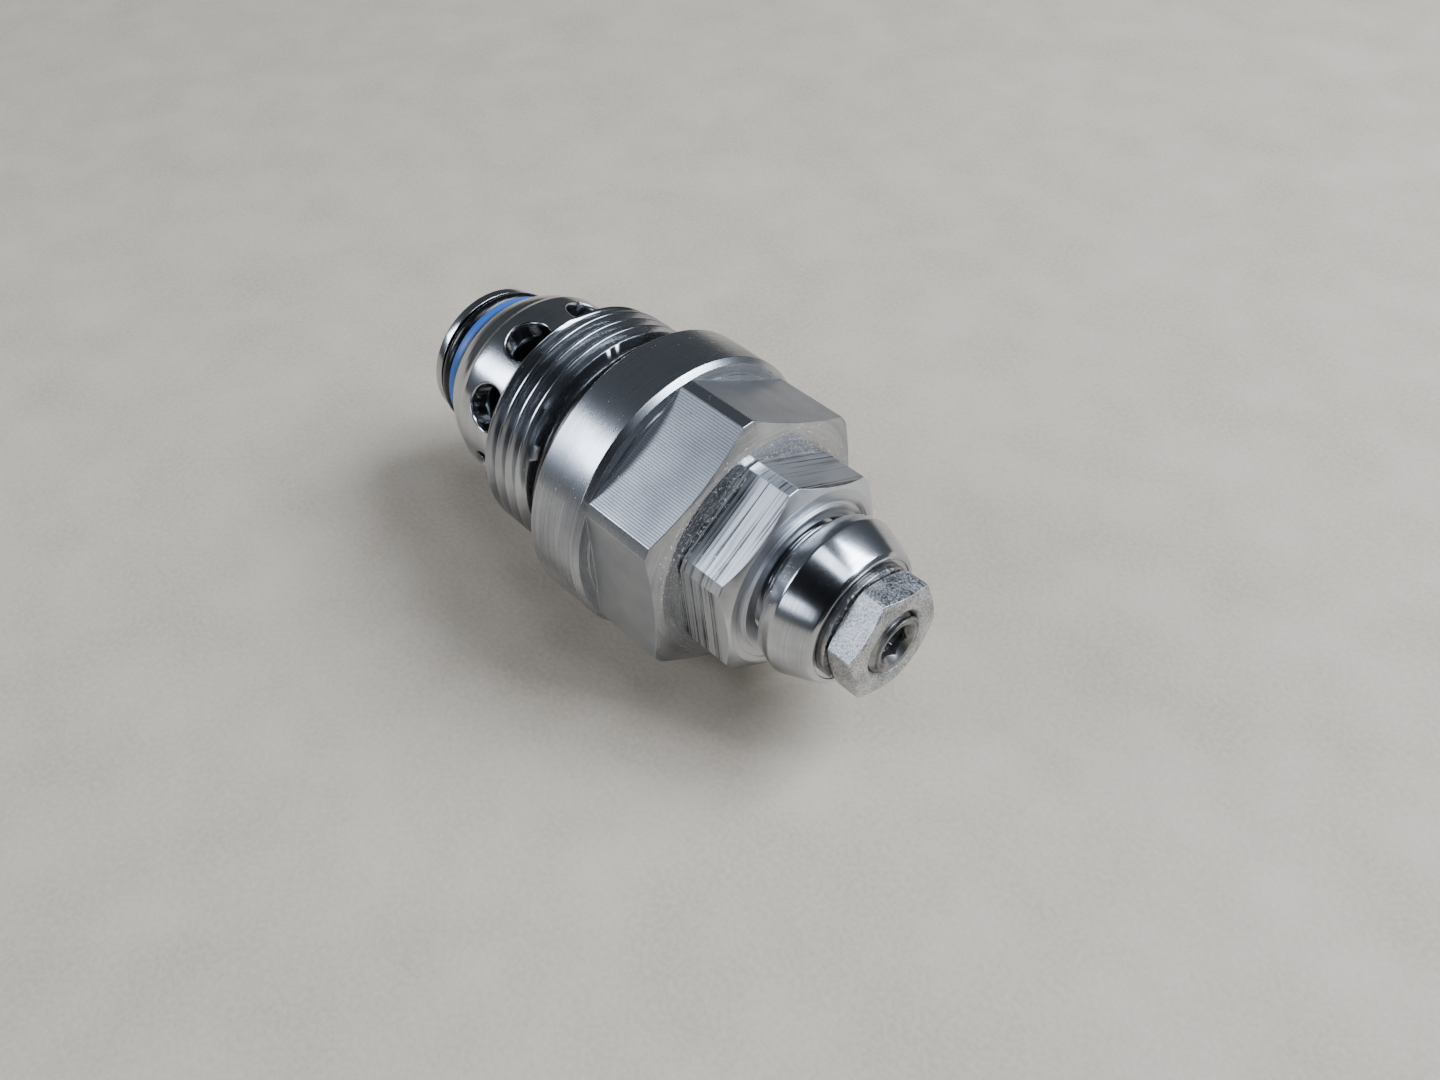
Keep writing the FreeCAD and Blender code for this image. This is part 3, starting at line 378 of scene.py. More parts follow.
def tool_marks(tree, spacing, streak):
    """Noise drawn out into fine lines that run round the axis, as a lathe tool leaves them. It reads
    (x + FACE_SPREAD r) / spacing along the outline, or x / spacing on a milled flat, and changes
    slowly, over streak mm, round the piece."""
    where = add_node(tree, "ShaderNodeTexCoord").outputs["Object"]
    split = add_node(tree, "ShaderNodeSeparateXYZ", {0: where})
    off_axis = add_node(tree, "ShaderNodeVectorMath", {0: where, 1: (0, 1, 1)}, operation="MULTIPLY")
    radius = add_node(tree, "ShaderNodeVectorMath", {0: off_axis.outputs[0]}, operation="LENGTH")
    milled = add_node(tree, "ShaderNodeAttribute", attribute_name="milled").outputs["Fac"]
    spread = add_node(tree, "ShaderNodeMapRange", {"Value": milled, "To Min": FACE_SPREAD, "To Max": 0.0})
    along = add_node(tree, "ShaderNodeMath", {
        0: radius.outputs["Value"], 1: spread.outputs["Result"], 2: split.outputs["X"]},
        operation="MULTIPLY_ADD")
    fine = add_node(tree, "ShaderNodeMath", {0: along.outputs[0], 1: 1 / (spacing * MM)},
                    operation="MULTIPLY")
    slow = add_node(tree, "ShaderNodeVectorMath", {0: off_axis.outputs[0], "Scale": 1 / (streak * MM)},
                    operation="SCALE")
    slow_parts = add_node(tree, "ShaderNodeSeparateXYZ", {0: slow.outputs[0]})
    vector = add_node(tree, "ShaderNodeCombineXYZ", {
        "X": fine.outputs[0], "Y": slow_parts.outputs["Y"], "Z": slow_parts.outputs["Z"]})
    return add_node(tree, "ShaderNodeTexNoise", {
        "Vector": vector.outputs[0], "Scale": 1.0, "Detail": 3.0, "Roughness": 0.6}).outputs["Fac"]


CRUMB_SIZE, CRUMB_HEIGHT, CRUMB_COLOUR = 1 / 3, 0.1, "#DEDBD3"
TOP_FROM, TOP_TO = -5, 9


def grit(tree, place, reach):
    """Crumbs of swarf and dust, a third of a millimetre across, stuck on with oil. They are thickest
    at one place along the axis and thin out over reach mm, and below TOP_TO. The result is 1 on a
    crumb."""
    where = add_node(tree, "ShaderNodeTexCoord").outputs["Object"]
    split = add_node(tree, "ShaderNodeSeparateXYZ", {0: where})
    off = add_node(tree, "ShaderNodeMath", {0: split.outputs["X"], 1: place * MM}, operation="SUBTRACT")
    off = add_node(tree, "ShaderNodeMath", {0: off.outputs[0]}, operation="ABSOLUTE")
    near = add_node(tree, "ShaderNodeMapRange", {
        "Value": off.outputs[0], "From Max": reach * MM, "To Min": 0.14, "To Max": -0.05})
    crumbs = add_node(tree, "ShaderNodeTexNoise", {
        "Vector": where, "Scale": 1 / (CRUMB_SIZE * MM), "Detail": 1.0})
    on_top = add_node(tree, "ShaderNodeMapRange", {
        "Value": split.outputs["Z"], "From Min": TOP_FROM * MM, "From Max": TOP_TO * MM,
        "To Min": -0.12, "To Max": 0.0})
    settled = add_node(tree, "ShaderNodeMath", {
        0: near.outputs["Result"], 1: on_top.outputs["Result"]}, operation="ADD")
    amount = add_node(tree, "ShaderNodeMath", {0: crumbs.outputs["Fac"], 1: settled.outputs[0]},
                      operation="ADD")
    return add_node(tree, "ShaderNodeMapRange", {
        "Value": amount.outputs[0], "From Min": 0.7, "From Max": 0.74}).outputs["Result"]


def shade_metal(tree, shader, marks, low, high, roughness, depth, cloud=9.0, crumbs=None):
    """Metal whose colour and roughness drift over cloud mm, with the tool's marks on top of both and
    as relief, depth mm deep. The colour is low in the marks' hollows and high on their ridges.
    Crumbs, where given, lie on it as pale grains. The result is the roughness, for a material that
    changes it further."""
    where = add_node(tree, "ShaderNodeTexCoord").outputs["Object"]
    drift = add_node(tree, "ShaderNodeTexNoise", {"Vector": where, "Scale": 1 / (cloud * MM), "Detail": 5.0})
    mixed = add_node(tree, "ShaderNodeMath", {0: marks, 1: 0.6, 2: drift.outputs["Fac"]},
                     operation="MULTIPLY_ADD")
    amount = add_node(tree, "ShaderNodeMapRange", {
        "Value": mixed.outputs[0], "From Min": 0.55, "From Max": 1.05})
    colour = add_node(tree, "ShaderNodeMix", {
        "Factor": amount.outputs["Result"], "A": linear(low), "B": linear(high)}, data_type="RGBA")
    rough = add_node(tree, "ShaderNodeMapRange", {
        "Value": mixed.outputs[0], "From Min": 0.5, "From Max": 1.1,
        "To Min": roughness * 0.75, "To Max": roughness * 1.35})
    relief = add_node(tree, "ShaderNodeBump", {"Height": marks, "Distance": depth * MM})
    if crumbs:
        colour = add_node(tree, "ShaderNodeMix", {
            "Factor": crumbs, "A": colour.outputs["Result"], "B": linear(CRUMB_COLOUR)}, data_type="RGBA")
        relief = add_node(tree, "ShaderNodeBump", {
            "Height": crumbs, "Distance": CRUMB_HEIGHT * MM, "Normal": relief.outputs["Normal"]})
    feed(tree, shader, {"Base Color": colour.outputs["Result"], "Roughness": rough.outputs["Result"],
                        "Normal": relief.outputs["Normal"], "Metallic": 1.0})
    return rough.outputs["Result"]


CUTTER_FEED, CUTTER_WANDER, WANDER_SIZE = 0.34, 0.12, 6.25
ROUGHER_FLATS, GLOSSIER_THREAD = 0.12, -0.1


def turned_bar_steel():
    """Bare bar steel from the lathe: bright, with fine rings left by the tool. The six flats were
    milled with the cutter fed along them, which leaves straight lines CUTTER_FEED mm apart, and they
    are duller. The thread shows no rings and has more gloss."""
    material, tree, shader = new_finish("turned_bar_steel")
    rings = tool_marks(tree, spacing=0.16, streak=14.0)
    across = add_node(tree, "ShaderNodeAttribute", attribute_name="across").outputs["Fac"]
    milled = add_node(tree, "ShaderNodeAttribute", attribute_name="milled").outputs["Fac"]
    where = add_node(tree, "ShaderNodeTexCoord").outputs["Object"]
    wander = add_node(tree, "ShaderNodeTexNoise", {"Vector": where, "Scale": 1 / (WANDER_SIZE * MM)})
    place = add_node(tree, "ShaderNodeMath", {0: wander.outputs["Fac"], 1: CUTTER_WANDER, 2: across},
                     operation="MULTIPLY_ADD")
    phase = add_node(tree, "ShaderNodeMath", {0: place.outputs[0], 1: 2 * np.pi / CUTTER_FEED},
                     operation="MULTIPLY")
    ridges = add_node(tree, "ShaderNodeMath", {0: phase.outputs[0]}, operation="SINE")
    ridges = add_node(tree, "ShaderNodeMapRange", {"Value": ridges.outputs[0], "From Min": -1.0,
                                                   "To Min": 0.25, "To Max": 0.75})
    threaded = add_node(tree, "ShaderNodeAttribute", attribute_name="threaded").outputs["Fac"]
    rings = add_node(tree, "ShaderNodeMix", {"Factor": threaded, "A": rings, "B": 0.5},
                     data_type="FLOAT").outputs["Result"]
    marks = add_node(tree, "ShaderNodeMix", {
        "Factor": milled, "A": rings, "B": ridges.outputs["Result"]}, data_type="FLOAT")
    rough = shade_metal(tree, shader, marks.outputs["Result"], low="#C3C6CA", high="#85888E",
                        roughness=0.26, depth=0.008, crumbs=grit(tree, body_front, reach=0.6))
    rougher = add_node(tree, "ShaderNodeMath", {0: milled, 1: ROUGHER_FLATS, 2: rough},
                       operation="MULTIPLY_ADD")
    glossier = add_node(tree, "ShaderNodeMath", {0: threaded, 1: GLOSSIER_THREAD, 2: rougher.outputs[0]},
                        operation="MULTIPLY_ADD")
    feed(tree, shader, {"Roughness": glossier.outputs[0]})
    return material


body_back, body_front, collar_radius = box_mm("valve_body")
thread_root = THREAD_CREST - THREAD_PITCH * THREAD_DEPTH
body_angles = hexagon_angles(BODY_FLATS, BODY_CORNER, 0.0)
body_hexagon = hexagon_radius(body_angles, BODY_FLATS, BODY_CORNER, 0.0)
chamfer_start = body_front - BODY_FRONT_CHAMFER * (body_hexagon - BODY_FACE) / (BODY_CORNER - BODY_FACE)
port_thread = thread(body_back, THREAD_END, THREAD_CREST, THREAD_PITCH, body_angles)
body_rows = eased([
    (THREAD_END, port_thread[-1, :, 1]),
    (THREAD_END + EDGE, RELIEF),
    (0, RELIEF),
    (0, collar_radius - EDGE),
    (EDGE, collar_radius),
    (COLLAR_FRONT, collar_radius),
    (HEXAGON_BACK, BODY_CORNER),
    (HEXAGON_BACK, np.maximum(body_hexagon, LEDGE_RADIUS)),
    (HEXAGON_BACK + LEDGE_WIDTH, np.maximum(body_hexagon, LEDGE_RADIUS)),
    (HEXAGON_BACK + LEDGE_WIDTH, body_hexagon),
    (chamfer_start, body_hexagon),
    (body_front, BODY_FACE),
    (body_front, ADJUSTER_THREAD + EDGE),
    (body_front - EDGE, ADJUSTER_THREAD),
    (ADJUSTER_TAPPING, ADJUSTER_THREAD),
    (ADJUSTER_TAPPING, SEAL_BORE),
    (SPIGOT_FLOOR, SEAL_BORE),
    (SPIGOT_FLOOR, SPIGOT_BORE),
    (body_back, SPIGOT_BORE),
    (body_back, thread_root),
], body_angles)
body_marks = flat_marks(BODY_FLATS, 0.0)
body_marks["threaded"] = lambda points: (points[:, 0] < THREAD_END).astype(float)
new_piece("body_shell", [around(port_thread, body_angles), around(body_rows, body_angles)],
          "valve_body", turned_bar_steel(), body_marks)

# Sleeve -----------------------------------------------------------------------------------------
# The hardened cage that the poppet slides in, ground bright outside. Eight drilled holes let the
# oil out just behind the thread, and the nose has a groove for its seal.

NOSE_LAND, NOSE_GROOVE_END, SHOULDER_END = -31.0, -27.4, -22.4
NOSE_RADIUS, NOSE_ROOT, NOSE_BACK, SLEEVE_RADIUS, CHAMBER = 9.5, 8.0, 10.1, 13.05, 10.0
INLET, SEAT_PLACE, CHAMBER_BACK, CHAMBER_FRONT, POPPET_BORE = 6.3, -26.0, -25.0, -12.5, 7.2
OUTLETS, OUTLET_PLACE, OUTLET_RADIUS, OUTLET_BREAK = 8, -16.94, 3.05, 0.12
PANEL_BACK, PANEL_FRONT = -20.7, -13.76
SLEEVE_TURN, SHOULDER_CROWN, SHOULDER_STEPS = 17.1, 0.42, 7
ACROSS_PANEL, ALONG_PANEL, OUTSIDE_STEPS, INSIDE_STEPS = 24, 14, 7, 6
CROWDING = 1.4


def crowned(start, end, crown, steps):
    """Rows between two points (x, r), ends left out. The radius goes from one to the other, plus
    4 crown s (1 - s), where s is the part of the way."""
    parts = np.linspace(0, 1, steps)[1:-1]
    return [(start[0] + s * (end[0] - start[0]),
             start[1] + (end[1] - start[1]) * s + crown * 4 * s * (1 - s)) for s in parts]


def hole_panels(place, radius, break_width, back, front, outer, inner, turn, count):
    """The sleeve's wall round each hole, as one grid per hole: it starts on the outside, at the
    panel's four sides, closes in on the hole, goes down its wall and opens out again inside. A point
    of the hole is (place + r cos p, r sin p) across the hole's axis, dropped on to the cylinder. Rows
    lie at s = step ^ CROWDING of the way from the hole to the panel's side, so closest at the hole."""
    half = 180.0 / count
    sideways = np.linspace(-half, half, ACROSS_PANEL + 1)
    lengthways = np.linspace(back, front, ALONG_PANEL + 1)
    edge_x = np.concatenate([np.full(ACROSS_PANEL, front), lengthways[:0:-1],
                             np.full(ACROSS_PANEL, back), lengthways])
    edge_a = np.concatenate([sideways[:-1], np.full(ALONG_PANEL, half), sideways[:0:-1],
                             np.full(ALONG_PANEL + 1, -half)])
    p = np.arctan2(np.radians(edge_a) * outer, edge_x - place)

    def on_cylinder(hole, cylinder):
        sideways_mm = hole * np.sin(p)
        return place + hole * np.cos(p), np.degrees(np.arcsin(sideways_mm / cylinder))

    def spread(hole, cylinder, steps):
        x, a = on_cylinder(hole, cylinder)
        s = (np.linspace(0, 1, steps) ** CROWDING)[:, None]
        return np.stack([x + (edge_x - x) * s, a + (edge_a - a) * s,
                         np.full((steps, len(p)), cylinder)], axis=-1)

    outside = spread(radius + break_width, outer, OUTSIDE_STEPS)[::-1]
    inside = spread(radius, inner, INSIDE_STEPS)
    depths = np.linspace(outer - break_width, inner, INSIDE_STEPS)[:-1]
    wall = np.stack([np.stack([*on_cylinder(radius, depth), np.full(len(p), depth)], axis=-1)
                     for depth in depths])
    rows = np.concatenate([outside, wall, inside])
    return [around(rows[..., [0, 2]], rows[..., 1] + turn + 360.0 / count * i) for i in range(count)]


def ground_sleeve_steel():
    """Hardened steel, cylindrically ground: nearly a mirror, with very fine rings and a thin film of
    oil that clouds it."""
    material, tree, shader = new_finish("ground_sleeve_steel")
    rings = tool_marks(tree, spacing=0.12, streak=20.0)
    shade_metal(tree, shader, rings, low="#CDCFD2", high="#9FA2A6", roughness=0.17, depth=0.002,
                cloud=6.0)
    return material


nose_tip, spigot_end = box_mm("valve_sleeve")[:2]
sleeve_angles = np.linspace(0, 360, OUTLETS * ACROSS_PANEL + 1) + SLEEVE_TURN + 180.0 / OUTLETS
shoulder_rows = crowned((NOSE_GROOVE_END, NOSE_BACK), (SHOULDER_END, SLEEVE_RADIUS - EDGE),
                        SHOULDER_CROWN, SHOULDER_STEPS)
front_rows = eased([
    (PANEL_FRONT, SLEEVE_RADIUS),
    (body_back, SLEEVE_RADIUS),
    (body_back, SPIGOT_BORE),
    (spigot_end, SPIGOT_BORE),
    (spigot_end, POPPET_BORE),
    (CHAMBER_FRONT, POPPET_BORE),
    (CHAMBER_FRONT, CHAMBER),
    (PANEL_FRONT, CHAMBER),
], sleeve_angles, ease=0.02)
nose_rows = eased([
    (PANEL_BACK, CHAMBER),
    (CHAMBER_BACK, CHAMBER),
    (SEAT_PLACE, INLET),
    (nose_tip, INLET),
    (nose_tip, NOSE_RADIUS - 2 * EDGE),
    (nose_tip + 2 * EDGE, NOSE_RADIUS),
    (NOSE_LAND, NOSE_RADIUS),
    (NOSE_LAND, NOSE_ROOT),
    (NOSE_GROOVE_END, NOSE_ROOT),
    (NOSE_GROOVE_END, NOSE_BACK),
    *shoulder_rows,
    (SHOULDER_END, SLEEVE_RADIUS - EDGE),
    (SHOULDER_END + 2 * EDGE, SLEEVE_RADIUS),
    (PANEL_BACK, SLEEVE_RADIUS),
], sleeve_angles, ease=0.1)
sleeve_panels = hole_panels(OUTLET_PLACE, OUTLET_RADIUS, OUTLET_BREAK, PANEL_BACK, PANEL_FRONT,
                            SLEEVE_RADIUS, CHAMBER, SLEEVE_TURN, OUTLETS)
new_piece("sleeve_cage", [around(front_rows, sleeve_angles), around(nose_rows, sleeve_angles)]
          + sleeve_panels, "valve_sleeve", ground_sleeve_steel())

# Seals ------------------------------------------------------------------------------------------
# Two black nitrile O-rings, one in the nose groove and one against the collar, and a blue filled
# PTFE backup ring that keeps the nose O-ring from being squeezed out under pressure.

NOSE_SEAL_CORD, PORT_SEAL_CORD, CORD_STEPS = 0.98, 1.3, 32
BACKUP_RADIUS, BACKUP_BORE = 9.98, NOSE_ROOT + 0.02
DUST_SIZE, ROUND_STEPS = 0.7143, 192
round_angles = np.linspace(0, 360, ROUND_STEPS + 1)


def cord_ring(place, centre, cord, angles):
    """A ring of round cord: points on a circle of radius cord about (place, centre), carried round."""
    t = np.radians(np.linspace(0, 360, CORD_STEPS + 1))
    rows = list(zip(place + cord * np.cos(t), centre + cord * np.sin(t)))
    return around(outline(rows, angles), angles)


def nitrile_rubber():
    """Moulded nitrile, wet with oil: black, with a soft gloss that dust breaks up."""
    material, tree, shader = new_finish("nitrile_rubber")
    where = add_node(tree, "ShaderNodeTexCoord").outputs["Object"]
    dust = add_node(tree, "ShaderNodeTexNoise", {
        "Vector": where, "Scale": 1 / (DUST_SIZE * MM), "Detail": 4.0})
    amount = add_node(tree, "ShaderNodeMapRange", {
        "Value": dust.outputs["Fac"], "From Min": 0.6, "From Max": 0.85})
    colour = add_node(tree, "ShaderNodeMix", {
        "Factor": amount.outputs["Result"], "A": linear("#060607"), "B": linear("#232324"),
    }, data_type="RGBA")
    rough = add_node(tree, "ShaderNodeMapRange", {
        "Value": dust.outputs["Fac"], "To Min": 0.12, "To Max": 0.4})
    relief = add_node(tree, "ShaderNodeBump", {"Height": dust.outputs["Fac"], "Distance": 0.01 * MM})
    feed(tree, shader, {"Base Color": colour.outputs["Result"], "Roughness": rough.outputs["Result"],
                        "Normal": relief.outputs["Normal"]})
    return material


def flat_ring(back, front, bore, radius, ease):
    """The outline of a plain ring, from the middle of its bore round its four edges and back."""
    middle = (back + front) / 2
    rows = [(middle, bore), (back, bore), (back, radius), (front, radius), (front, bore), (middle, bore)]
    return eased(rows, round_angles, ease)


def ringed_plastic(name, spacing, streak, pale, deep, depth, roughness):
    """A plastic turned from bar or tube: the tool's rings show in its colour and as faint relief."""
    material, tree, shader = new_finish(name)
    rings = tool_marks(tree, spacing, streak)
    colour = add_node(tree, "ShaderNodeMix", {"Factor": rings, "A": linear(pale), "B": linear(deep)},
                      data_type="RGBA")
    relief = add_node(tree, "ShaderNodeBump", {"Height": rings, "Distance": depth * MM})
    feed(tree, shader, {"Base Color": colour.outputs["Result"], "Normal": relief.outputs["Normal"],
                        "Roughness": roughness})
    return material


def filled_ptfe():
    """Blue filled PTFE, cut from a tube: satin and waxy, slightly uneven in colour."""
    return ringed_plastic("filled_ptfe", spacing=0.2, streak=8.0, pale="#3F74C4", deep="#1F4686",
                          depth=0.008, roughness=0.42)


rubber = nitrile_rubber()
for name, node, cord in (("nose_seal", "nose_o_ring", NOSE_SEAL_CORD),
                         ("port_seal", "port_o_ring", PORT_SEAL_CORD)):
    back, front, outer = box_mm(node)
    new_piece(name, [cord_ring((back + front) / 2, outer - cord, cord, round_angles)], node, rubber)
ring_back, ring_front = box_mm("nose_backup_ring")[:2]
backup_rows = flat_ring(ring_back, ring_front, BACKUP_BORE, BACKUP_RADIUS, 0.15)
new_piece("backup_ring", [around(backup_rows, round_angles)], "nose_backup_ring", filled_ptfe())

# Lock nut ---------------------------------------------------------------------------------------
# A thin M16 nut, 24 mm across flats, cut from bar steel and faced. It jams the adjusting plug. Its
# flats carry coarse lines that run round the nut.

LOCK_FLATS, LOCK_CORNER, LOCK_FACE, LOCK_BACK_FACE, LOCK_TURN = 24.0, 13.44, 11.7, 12.72, 3.1
LOCK_BOSS, LOCK_HEIGHT, LOCK_CHAMFER_ANGLE, LOCK_BACK_SLOPE = 9.9, 7.5, 30, 1 / 3
SEAL_RECESS, RECESS_DEPTH, LOCK_MIDDLE = 9.36, 1.52, 4
nut_back, lock_front = box_mm("lock_nut")[:2]


def sawn_bar_steel():
    """Free-cutting bar steel with coarse uneven lines, as a saw or a worn cutter leaves them: some
    are torn deep and dark, and the ground between them is bright."""
    material, tree, shader = new_finish("sawn_bar_steel")
    rings = tool_marks(tree, spacing=0.3, streak=30.0)
    deep = add_node(tree, "ShaderNodeMapRange", {"Value": rings, "From Min": 0.33, "From Max": 0.52})
    shade_metal(tree, shader, deep.outputs["Result"], low="#5E6166", high="#CDD0D4", roughness=0.3,
                depth=0.01, cloud=7.0, crumbs=grit(tree, nut_back, reach=1.6))
    return material


nut_face = nut_back + LOCK_HEIGHT
lock_angles = hexagon_angles(LOCK_FLATS, LOCK_CORNER, LOCK_TURN)
lock_hexagon = hexagon_radius(lock_angles, LOCK_FLATS, LOCK_CORNER, LOCK_TURN)
lock_front_chamfer = (lock_hexagon - LOCK_FACE) * np.tan(np.radians(LOCK_CHAMFER_ANGLE))
lock_back_chamfer = np.maximum(lock_hexagon - LOCK_BACK_FACE, 0) * LOCK_BACK_SLOPE
lock_rows = eased([
    (nut_back + LOCK_MIDDLE, ADJUSTER_THREAD),
    (nut_back + RECESS_DEPTH, ADJUSTER_THREAD),
    (nut_back + RECESS_DEPTH, SEAL_RECESS),
    (nut_back, SEAL_RECESS),
    (nut_back, np.minimum(lock_hexagon, LOCK_BACK_FACE)),
    (nut_back + lock_back_chamfer, lock_hexagon),
    (nut_face - lock_front_chamfer, lock_hexagon),
    (nut_face, LOCK_FACE),
    (nut_face, LOCK_BOSS),
    (lock_front, LOCK_BOSS),
    (lock_front, ADJUSTER_THREAD + EDGE),
    (lock_front - EDGE, ADJUSTER_THREAD),
    (nut_back + LOCK_MIDDLE, ADJUSTER_THREAD),
], lock_angles)
new_piece("lock_nut_shell", [around(lock_rows, lock_angles)], "lock_nut", sawn_bar_steel(),
          flat_marks(LOCK_FLATS, LOCK_TURN))

# Adjusting plug ---------------------------------------------------------------------------------
# A plug with an M16 shank in the body and a tapered, polished bell outside. The set screw runs
# through the bell, and a ridge near the bell's back edge is left where two cuts meet.

BELL_BACK, BELL_RIDGE, BELL_FRONT, BELL_RIM = 9.9, 10.35, 8.7, 0.4
BELL_START, RIDGE_PLACE, TAPER_END, BELL_CROWN = 29.5, 31.5, 35.95, 0.08
BELL_EDGE, BELL_STEPS = 0.2, 8
WASHER_SEAT, RECESS, SET_SCREW = 36.1, 7.9, 4.0
PLUG_BORE, PLUG_NOSE, PLUG_ROOT, PLUG_CREST, UNDERCUT = 4.4, 6.93, 5.6, 7.95, 7.2
SHANK_START, UNDERCUT_START, TAPPING_START = 13.4, 28.8, 30.8
PLUG_PITCH, PLUG_GROOVE_START, PLUG_GROOVE_END = 1.5, 7.0, 9.3


def polished_plug_steel():
    """Steel polished on the lathe: a mirror that shows the room as bands along the axis, crossed by
    a few faint rings and fine scratches."""
    material, tree, shader = new_finish("polished_plug_steel")
    rings = tool_marks(tree, spacing=0.1, streak=25.0)
    shade_metal(tree, shader, rings, low="#D2D4D8", high="#A0A4AA", roughness=0.17, depth=0.002,
                cloud=5.0, crumbs=grit(tree, BELL_START, reach=1.6))
    return material


plug_back, plug_front = box_mm("adjusting_plug")[:2]
plug_thread = thread(SHANK_START + EDGE, UNDERCUT_START, PLUG_CREST, PLUG_PITCH, round_angles)
taper_start = RIDGE_PLACE + BELL_EDGE
bell_rows = crowned((taper_start, BELL_RIDGE), (TAPER_END, BELL_FRONT), BELL_CROWN, BELL_STEPS)
plug_rows = eased([
    (UNDERCUT_START, plug_thread[-1, :, 1]),
    (UNDERCUT_START, UNDERCUT),
    (BELL_START, UNDERCUT),
    (BELL_START, BELL_BACK - BELL_EDGE),
    (BELL_START + BELL_EDGE, BELL_BACK),
    (RIDGE_PLACE, BELL_RIDGE),
    (taper_start, BELL_RIDGE),
    *bell_rows,
    (TAPER_END, BELL_FRONT),
    (plug_front, BELL_FRONT - BELL_RIM),
    (plug_front, RECESS),
    (WASHER_SEAT, RECESS),
    (WASHER_SEAT, SET_SCREW + EDGE),
    (WASHER_SEAT - EDGE, SET_SCREW),
    (TAPPING_START, SET_SCREW),
    (TAPPING_START, PLUG_BORE),
    (plug_back, PLUG_BORE),
    (plug_back, PLUG_NOSE - EDGE),
    (plug_back + EDGE, PLUG_NOSE),
    (PLUG_GROOVE_START, PLUG_NOSE),
    (PLUG_GROOVE_START, PLUG_ROOT),
    (PLUG_GROOVE_END, PLUG_ROOT),
    (PLUG_GROOVE_END, PLUG_NOSE),
    (SHANK_START + EDGE, PLUG_NOSE),
    (SHANK_START + EDGE, plug_thread[0, :, 1]),
], round_angles, ease=0.1)
new_piece("bell_plug", [around(plug_thread, round_angles), around(plug_rows, round_angles)],
          "adjusting_plug", polished_plug_steel())

# Set screw nut and washer -----------------------------------------------------------------------
# A thin M8 nut, 13 mm across flats, with an etched, grainy skin, tightened on a thin washer that
# lies in the bell's recess.

SMALL_FLATS, SMALL_CORNER, SMALL_FACE, SMALL_TURN = 13.0, 7.43, 6.3, 13.9
SMALL_CHAMFER_ANGLE, SMALL_MIDDLE, SMALL_LEAD_IN = 20, 2, 0.5
WASHER_BORE, GRAIN_SIZE = 4.2, 0.2381


def etched_nut_steel():
    """Steel tumbled and etched: a fine bright grain that sparkles, and no lines."""
    material, tree, shader = new_finish("etched_nut_steel")
    where = add_node(tree, "ShaderNodeTexCoord").outputs["Object"]
    grain = add_node(tree, "ShaderNodeTexNoise", {
        "Vector": where, "Scale": 1 / (GRAIN_SIZE * MM), "Detail": 2.0, "Roughness": 0.7})
    pits = add_node(tree, "ShaderNodeMapRange", {
        "Value": grain.outputs["Fac"], "From Min": 0.35, "From Max": 0.65})
    shade_metal(tree, shader, pits.outputs["Result"], low="#84878B", high="#DDDFE1",
                roughness=0.38, depth=0.02, cloud=3.0)
    return material


def plain_screw_steel():
    """Plain steel with a thin brown film of old oil, dull, lightly marked by the tool."""
    material, tree, shader = new_finish("plain_screw_steel")
    rings = tool_marks(tree, spacing=0.12, streak=5.0)
    shade_metal(tree, shader, rings, low="#A8A9AA", high="#4C4B49", roughness=0.33, depth=0.006,
                cloud=2.0, crumbs=grit(tree, washer_front, reach=0.9))
    return material


washer_back, washer_front, washer_radius = box_mm("nut_seal_washer")
screw_steel = plain_screw_steel()
washer_rows = flat_ring(washer_back, washer_front, WASHER_BORE, washer_radius, 0.2)
new_piece("thin_washer", [around(washer_rows, round_angles)], "nut_seal_washer", screw_steel)

small_back, small_front = box_mm("set_screw_nut")[:2]
small_angles = hexagon_angles(SMALL_FLATS, SMALL_CORNER, SMALL_TURN)
small_hexagon = hexagon_radius(small_angles, SMALL_FLATS, SMALL_CORNER, SMALL_TURN)
small_chamfer = (small_hexagon - SMALL_FACE) * np.tan(np.radians(SMALL_CHAMFER_ANGLE))
small_rows = eased([
    (small_back + SMALL_MIDDLE, SET_SCREW),
    (small_back + EDGE, SET_SCREW),
    (small_back, SET_SCREW + EDGE),
    (small_back, SMALL_FACE),
    (small_back + small_chamfer, small_hexagon),
    (small_front - small_chamfer, small_hexagon),
    (small_front, SMALL_FACE),
    (small_front, SET_SCREW + SMALL_LEAD_IN),
    (small_front - SMALL_LEAD_IN, SET_SCREW),
    (small_back + SMALL_MIDDLE, SET_SCREW),
], small_angles)
new_piece("set_screw_nut_shell", [around(small_rows, small_angles)], "set_screw_nut",
          etched_nut_steel())

# Set screw --------------------------------------------------------------------------------------
# An M8 screw with a dog point inside and a hexagon socket outside. The socket was broached, and the
# chips that the broach pushed down still stand in it as torn, bright teeth.

SCREW_CREST, SCREW_PITCH, DOG_RADIUS, DOG_LENGTH = 3.95, 1.25, 2.75, 2.7
SOCKET_FLATS, SOCKET_TURN, SOCKET_MOUTH, SOCKET_DEPTH = 4.0, 8.0, 2.77, 4.6
SOCKET_CORNER, DRILL_POINT = SOCKET_FLATS / np.sqrt(3), 1.1
CHIP_START, CHIP_PEAK, CHIP_TAIL, CHIP_END, CHIP_HEIGHT, TAIL_HEIGHT = 1.5, 0.35, 0.8, 0.9, 0.45, 0.6

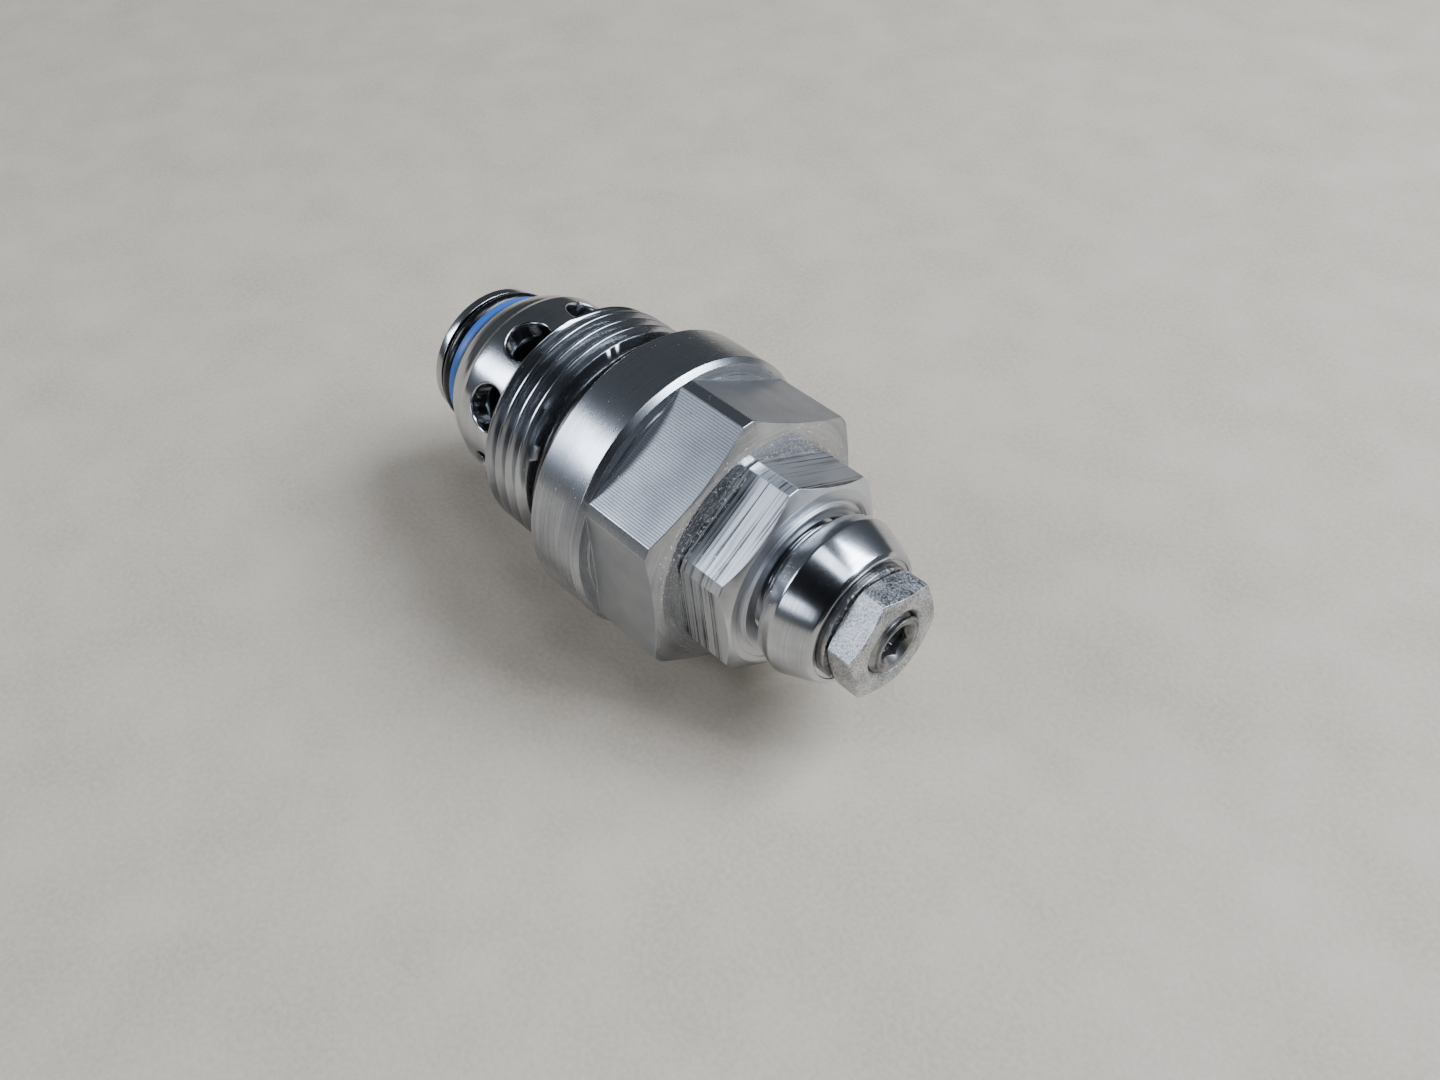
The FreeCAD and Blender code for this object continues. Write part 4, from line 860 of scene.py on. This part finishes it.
screw_back, screw_front = box_mm("set_screw")[:2]
screw_angles = hexagon_angles(SOCKET_FLATS, SOCKET_CORNER, SOCKET_TURN)
socket = hexagon_radius(screw_angles, SOCKET_FLATS, SOCKET_CORNER, SOCKET_TURN)
chip_start = screw_front - CHIP_START
screw_thread = thread(screw_back + DOG_LENGTH, screw_front - EDGE, SCREW_CREST, SCREW_PITCH, screw_angles)
chips = np.random.default_rng(7).uniform(0.0, 1.0, len(screw_angles) - 1)
chips = CHIP_HEIGHT * np.append(chips, chips[0]) ** 2
screw_rows = eased([
    (screw_front - EDGE, screw_thread[-1, :, 1]),
    (screw_front, np.minimum(screw_thread[-1, :, 1], SCREW_CREST - EDGE)),
    (screw_front, SOCKET_MOUTH),
    (screw_front - (SOCKET_MOUTH - socket), socket),
    (chip_start, socket),
    (chip_start - CHIP_PEAK, socket - chips),
    (chip_start - CHIP_TAIL, socket - chips * TAIL_HEIGHT),
    (chip_start - CHIP_END, socket),
    (screw_front - SOCKET_DEPTH, socket),
    (screw_front - SOCKET_DEPTH - DRILL_POINT, 0),
], screw_angles, ease=0.05)
point_rows = eased([
    (screw_back, 0),
    (screw_back, DOG_RADIUS),
    (screw_back + DOG_LENGTH, DOG_RADIUS),
    (screw_back + DOG_LENGTH, screw_thread[0, :, 1]),
], screw_angles, ease=0.05)
new_piece("set_screw_shell", [around(point_rows, screw_angles), around(screw_thread, screw_angles),
                              around(screw_rows, screw_angles)], "set_screw", screw_steel)

# Inside pieces ----------------------------------------------------------------------------------
# The poppet, the pilot stage, the springs and the inner seals keep their CAD shapes. They are
# hardened and ground, drawn and oiled, moulded, or turned from nylon.


def hardened_ground_steel():
    """Hardened tool steel, ground and oiled: darker than the sleeve, with fine rings."""
    material, tree, shader = new_finish("hardened_ground_steel")
    rings = tool_marks(tree, spacing=0.15, streak=12.0)
    shade_metal(tree, shader, rings, low="#A9ABAE", high="#77797C", roughness=0.22, depth=0.003,
                cloud=5.0)
    return material


def drawn_spring_wire():
    """Patented spring wire: dark brown-grey drawing skin with a dry sheen."""
    material, tree, shader = new_finish("drawn_spring_wire")
    rings = tool_marks(tree, spacing=0.3, streak=3.0)
    shade_metal(tree, shader, rings, low="#7C7873", high="#4A4744", roughness=0.38, depth=0.004,
                cloud=2.0)
    return material


def natural_nylon():
    """Natural polyamide: ivory and waxy, with turning rings."""
    return ringed_plastic("natural_nylon", spacing=0.2, streak=10.0, pale="#E9E3D2", deep="#D5CDB8",
                          depth=0.006, roughness=0.45)


inside_materials = {
    hardened_ground_steel(): ("main_poppet", "orifice_screw", "pilot_seat", "pilot_cone", "spring_plunger"),
    drawn_spring_wire(): ("main_spring", "pilot_spring", "sleeve_retaining_ring"),
    rubber: ("pilot_seat_o_ring", "plug_o_ring", "plunger_o_ring"),
    natural_nylon(): ("lock_nut_seal",),
}
for material, nodes in inside_materials.items():
    for node in nodes:
        cad_materials = frame["nodes"][node].data.materials
        cad_materials.clear()
        cad_materials.append(material)
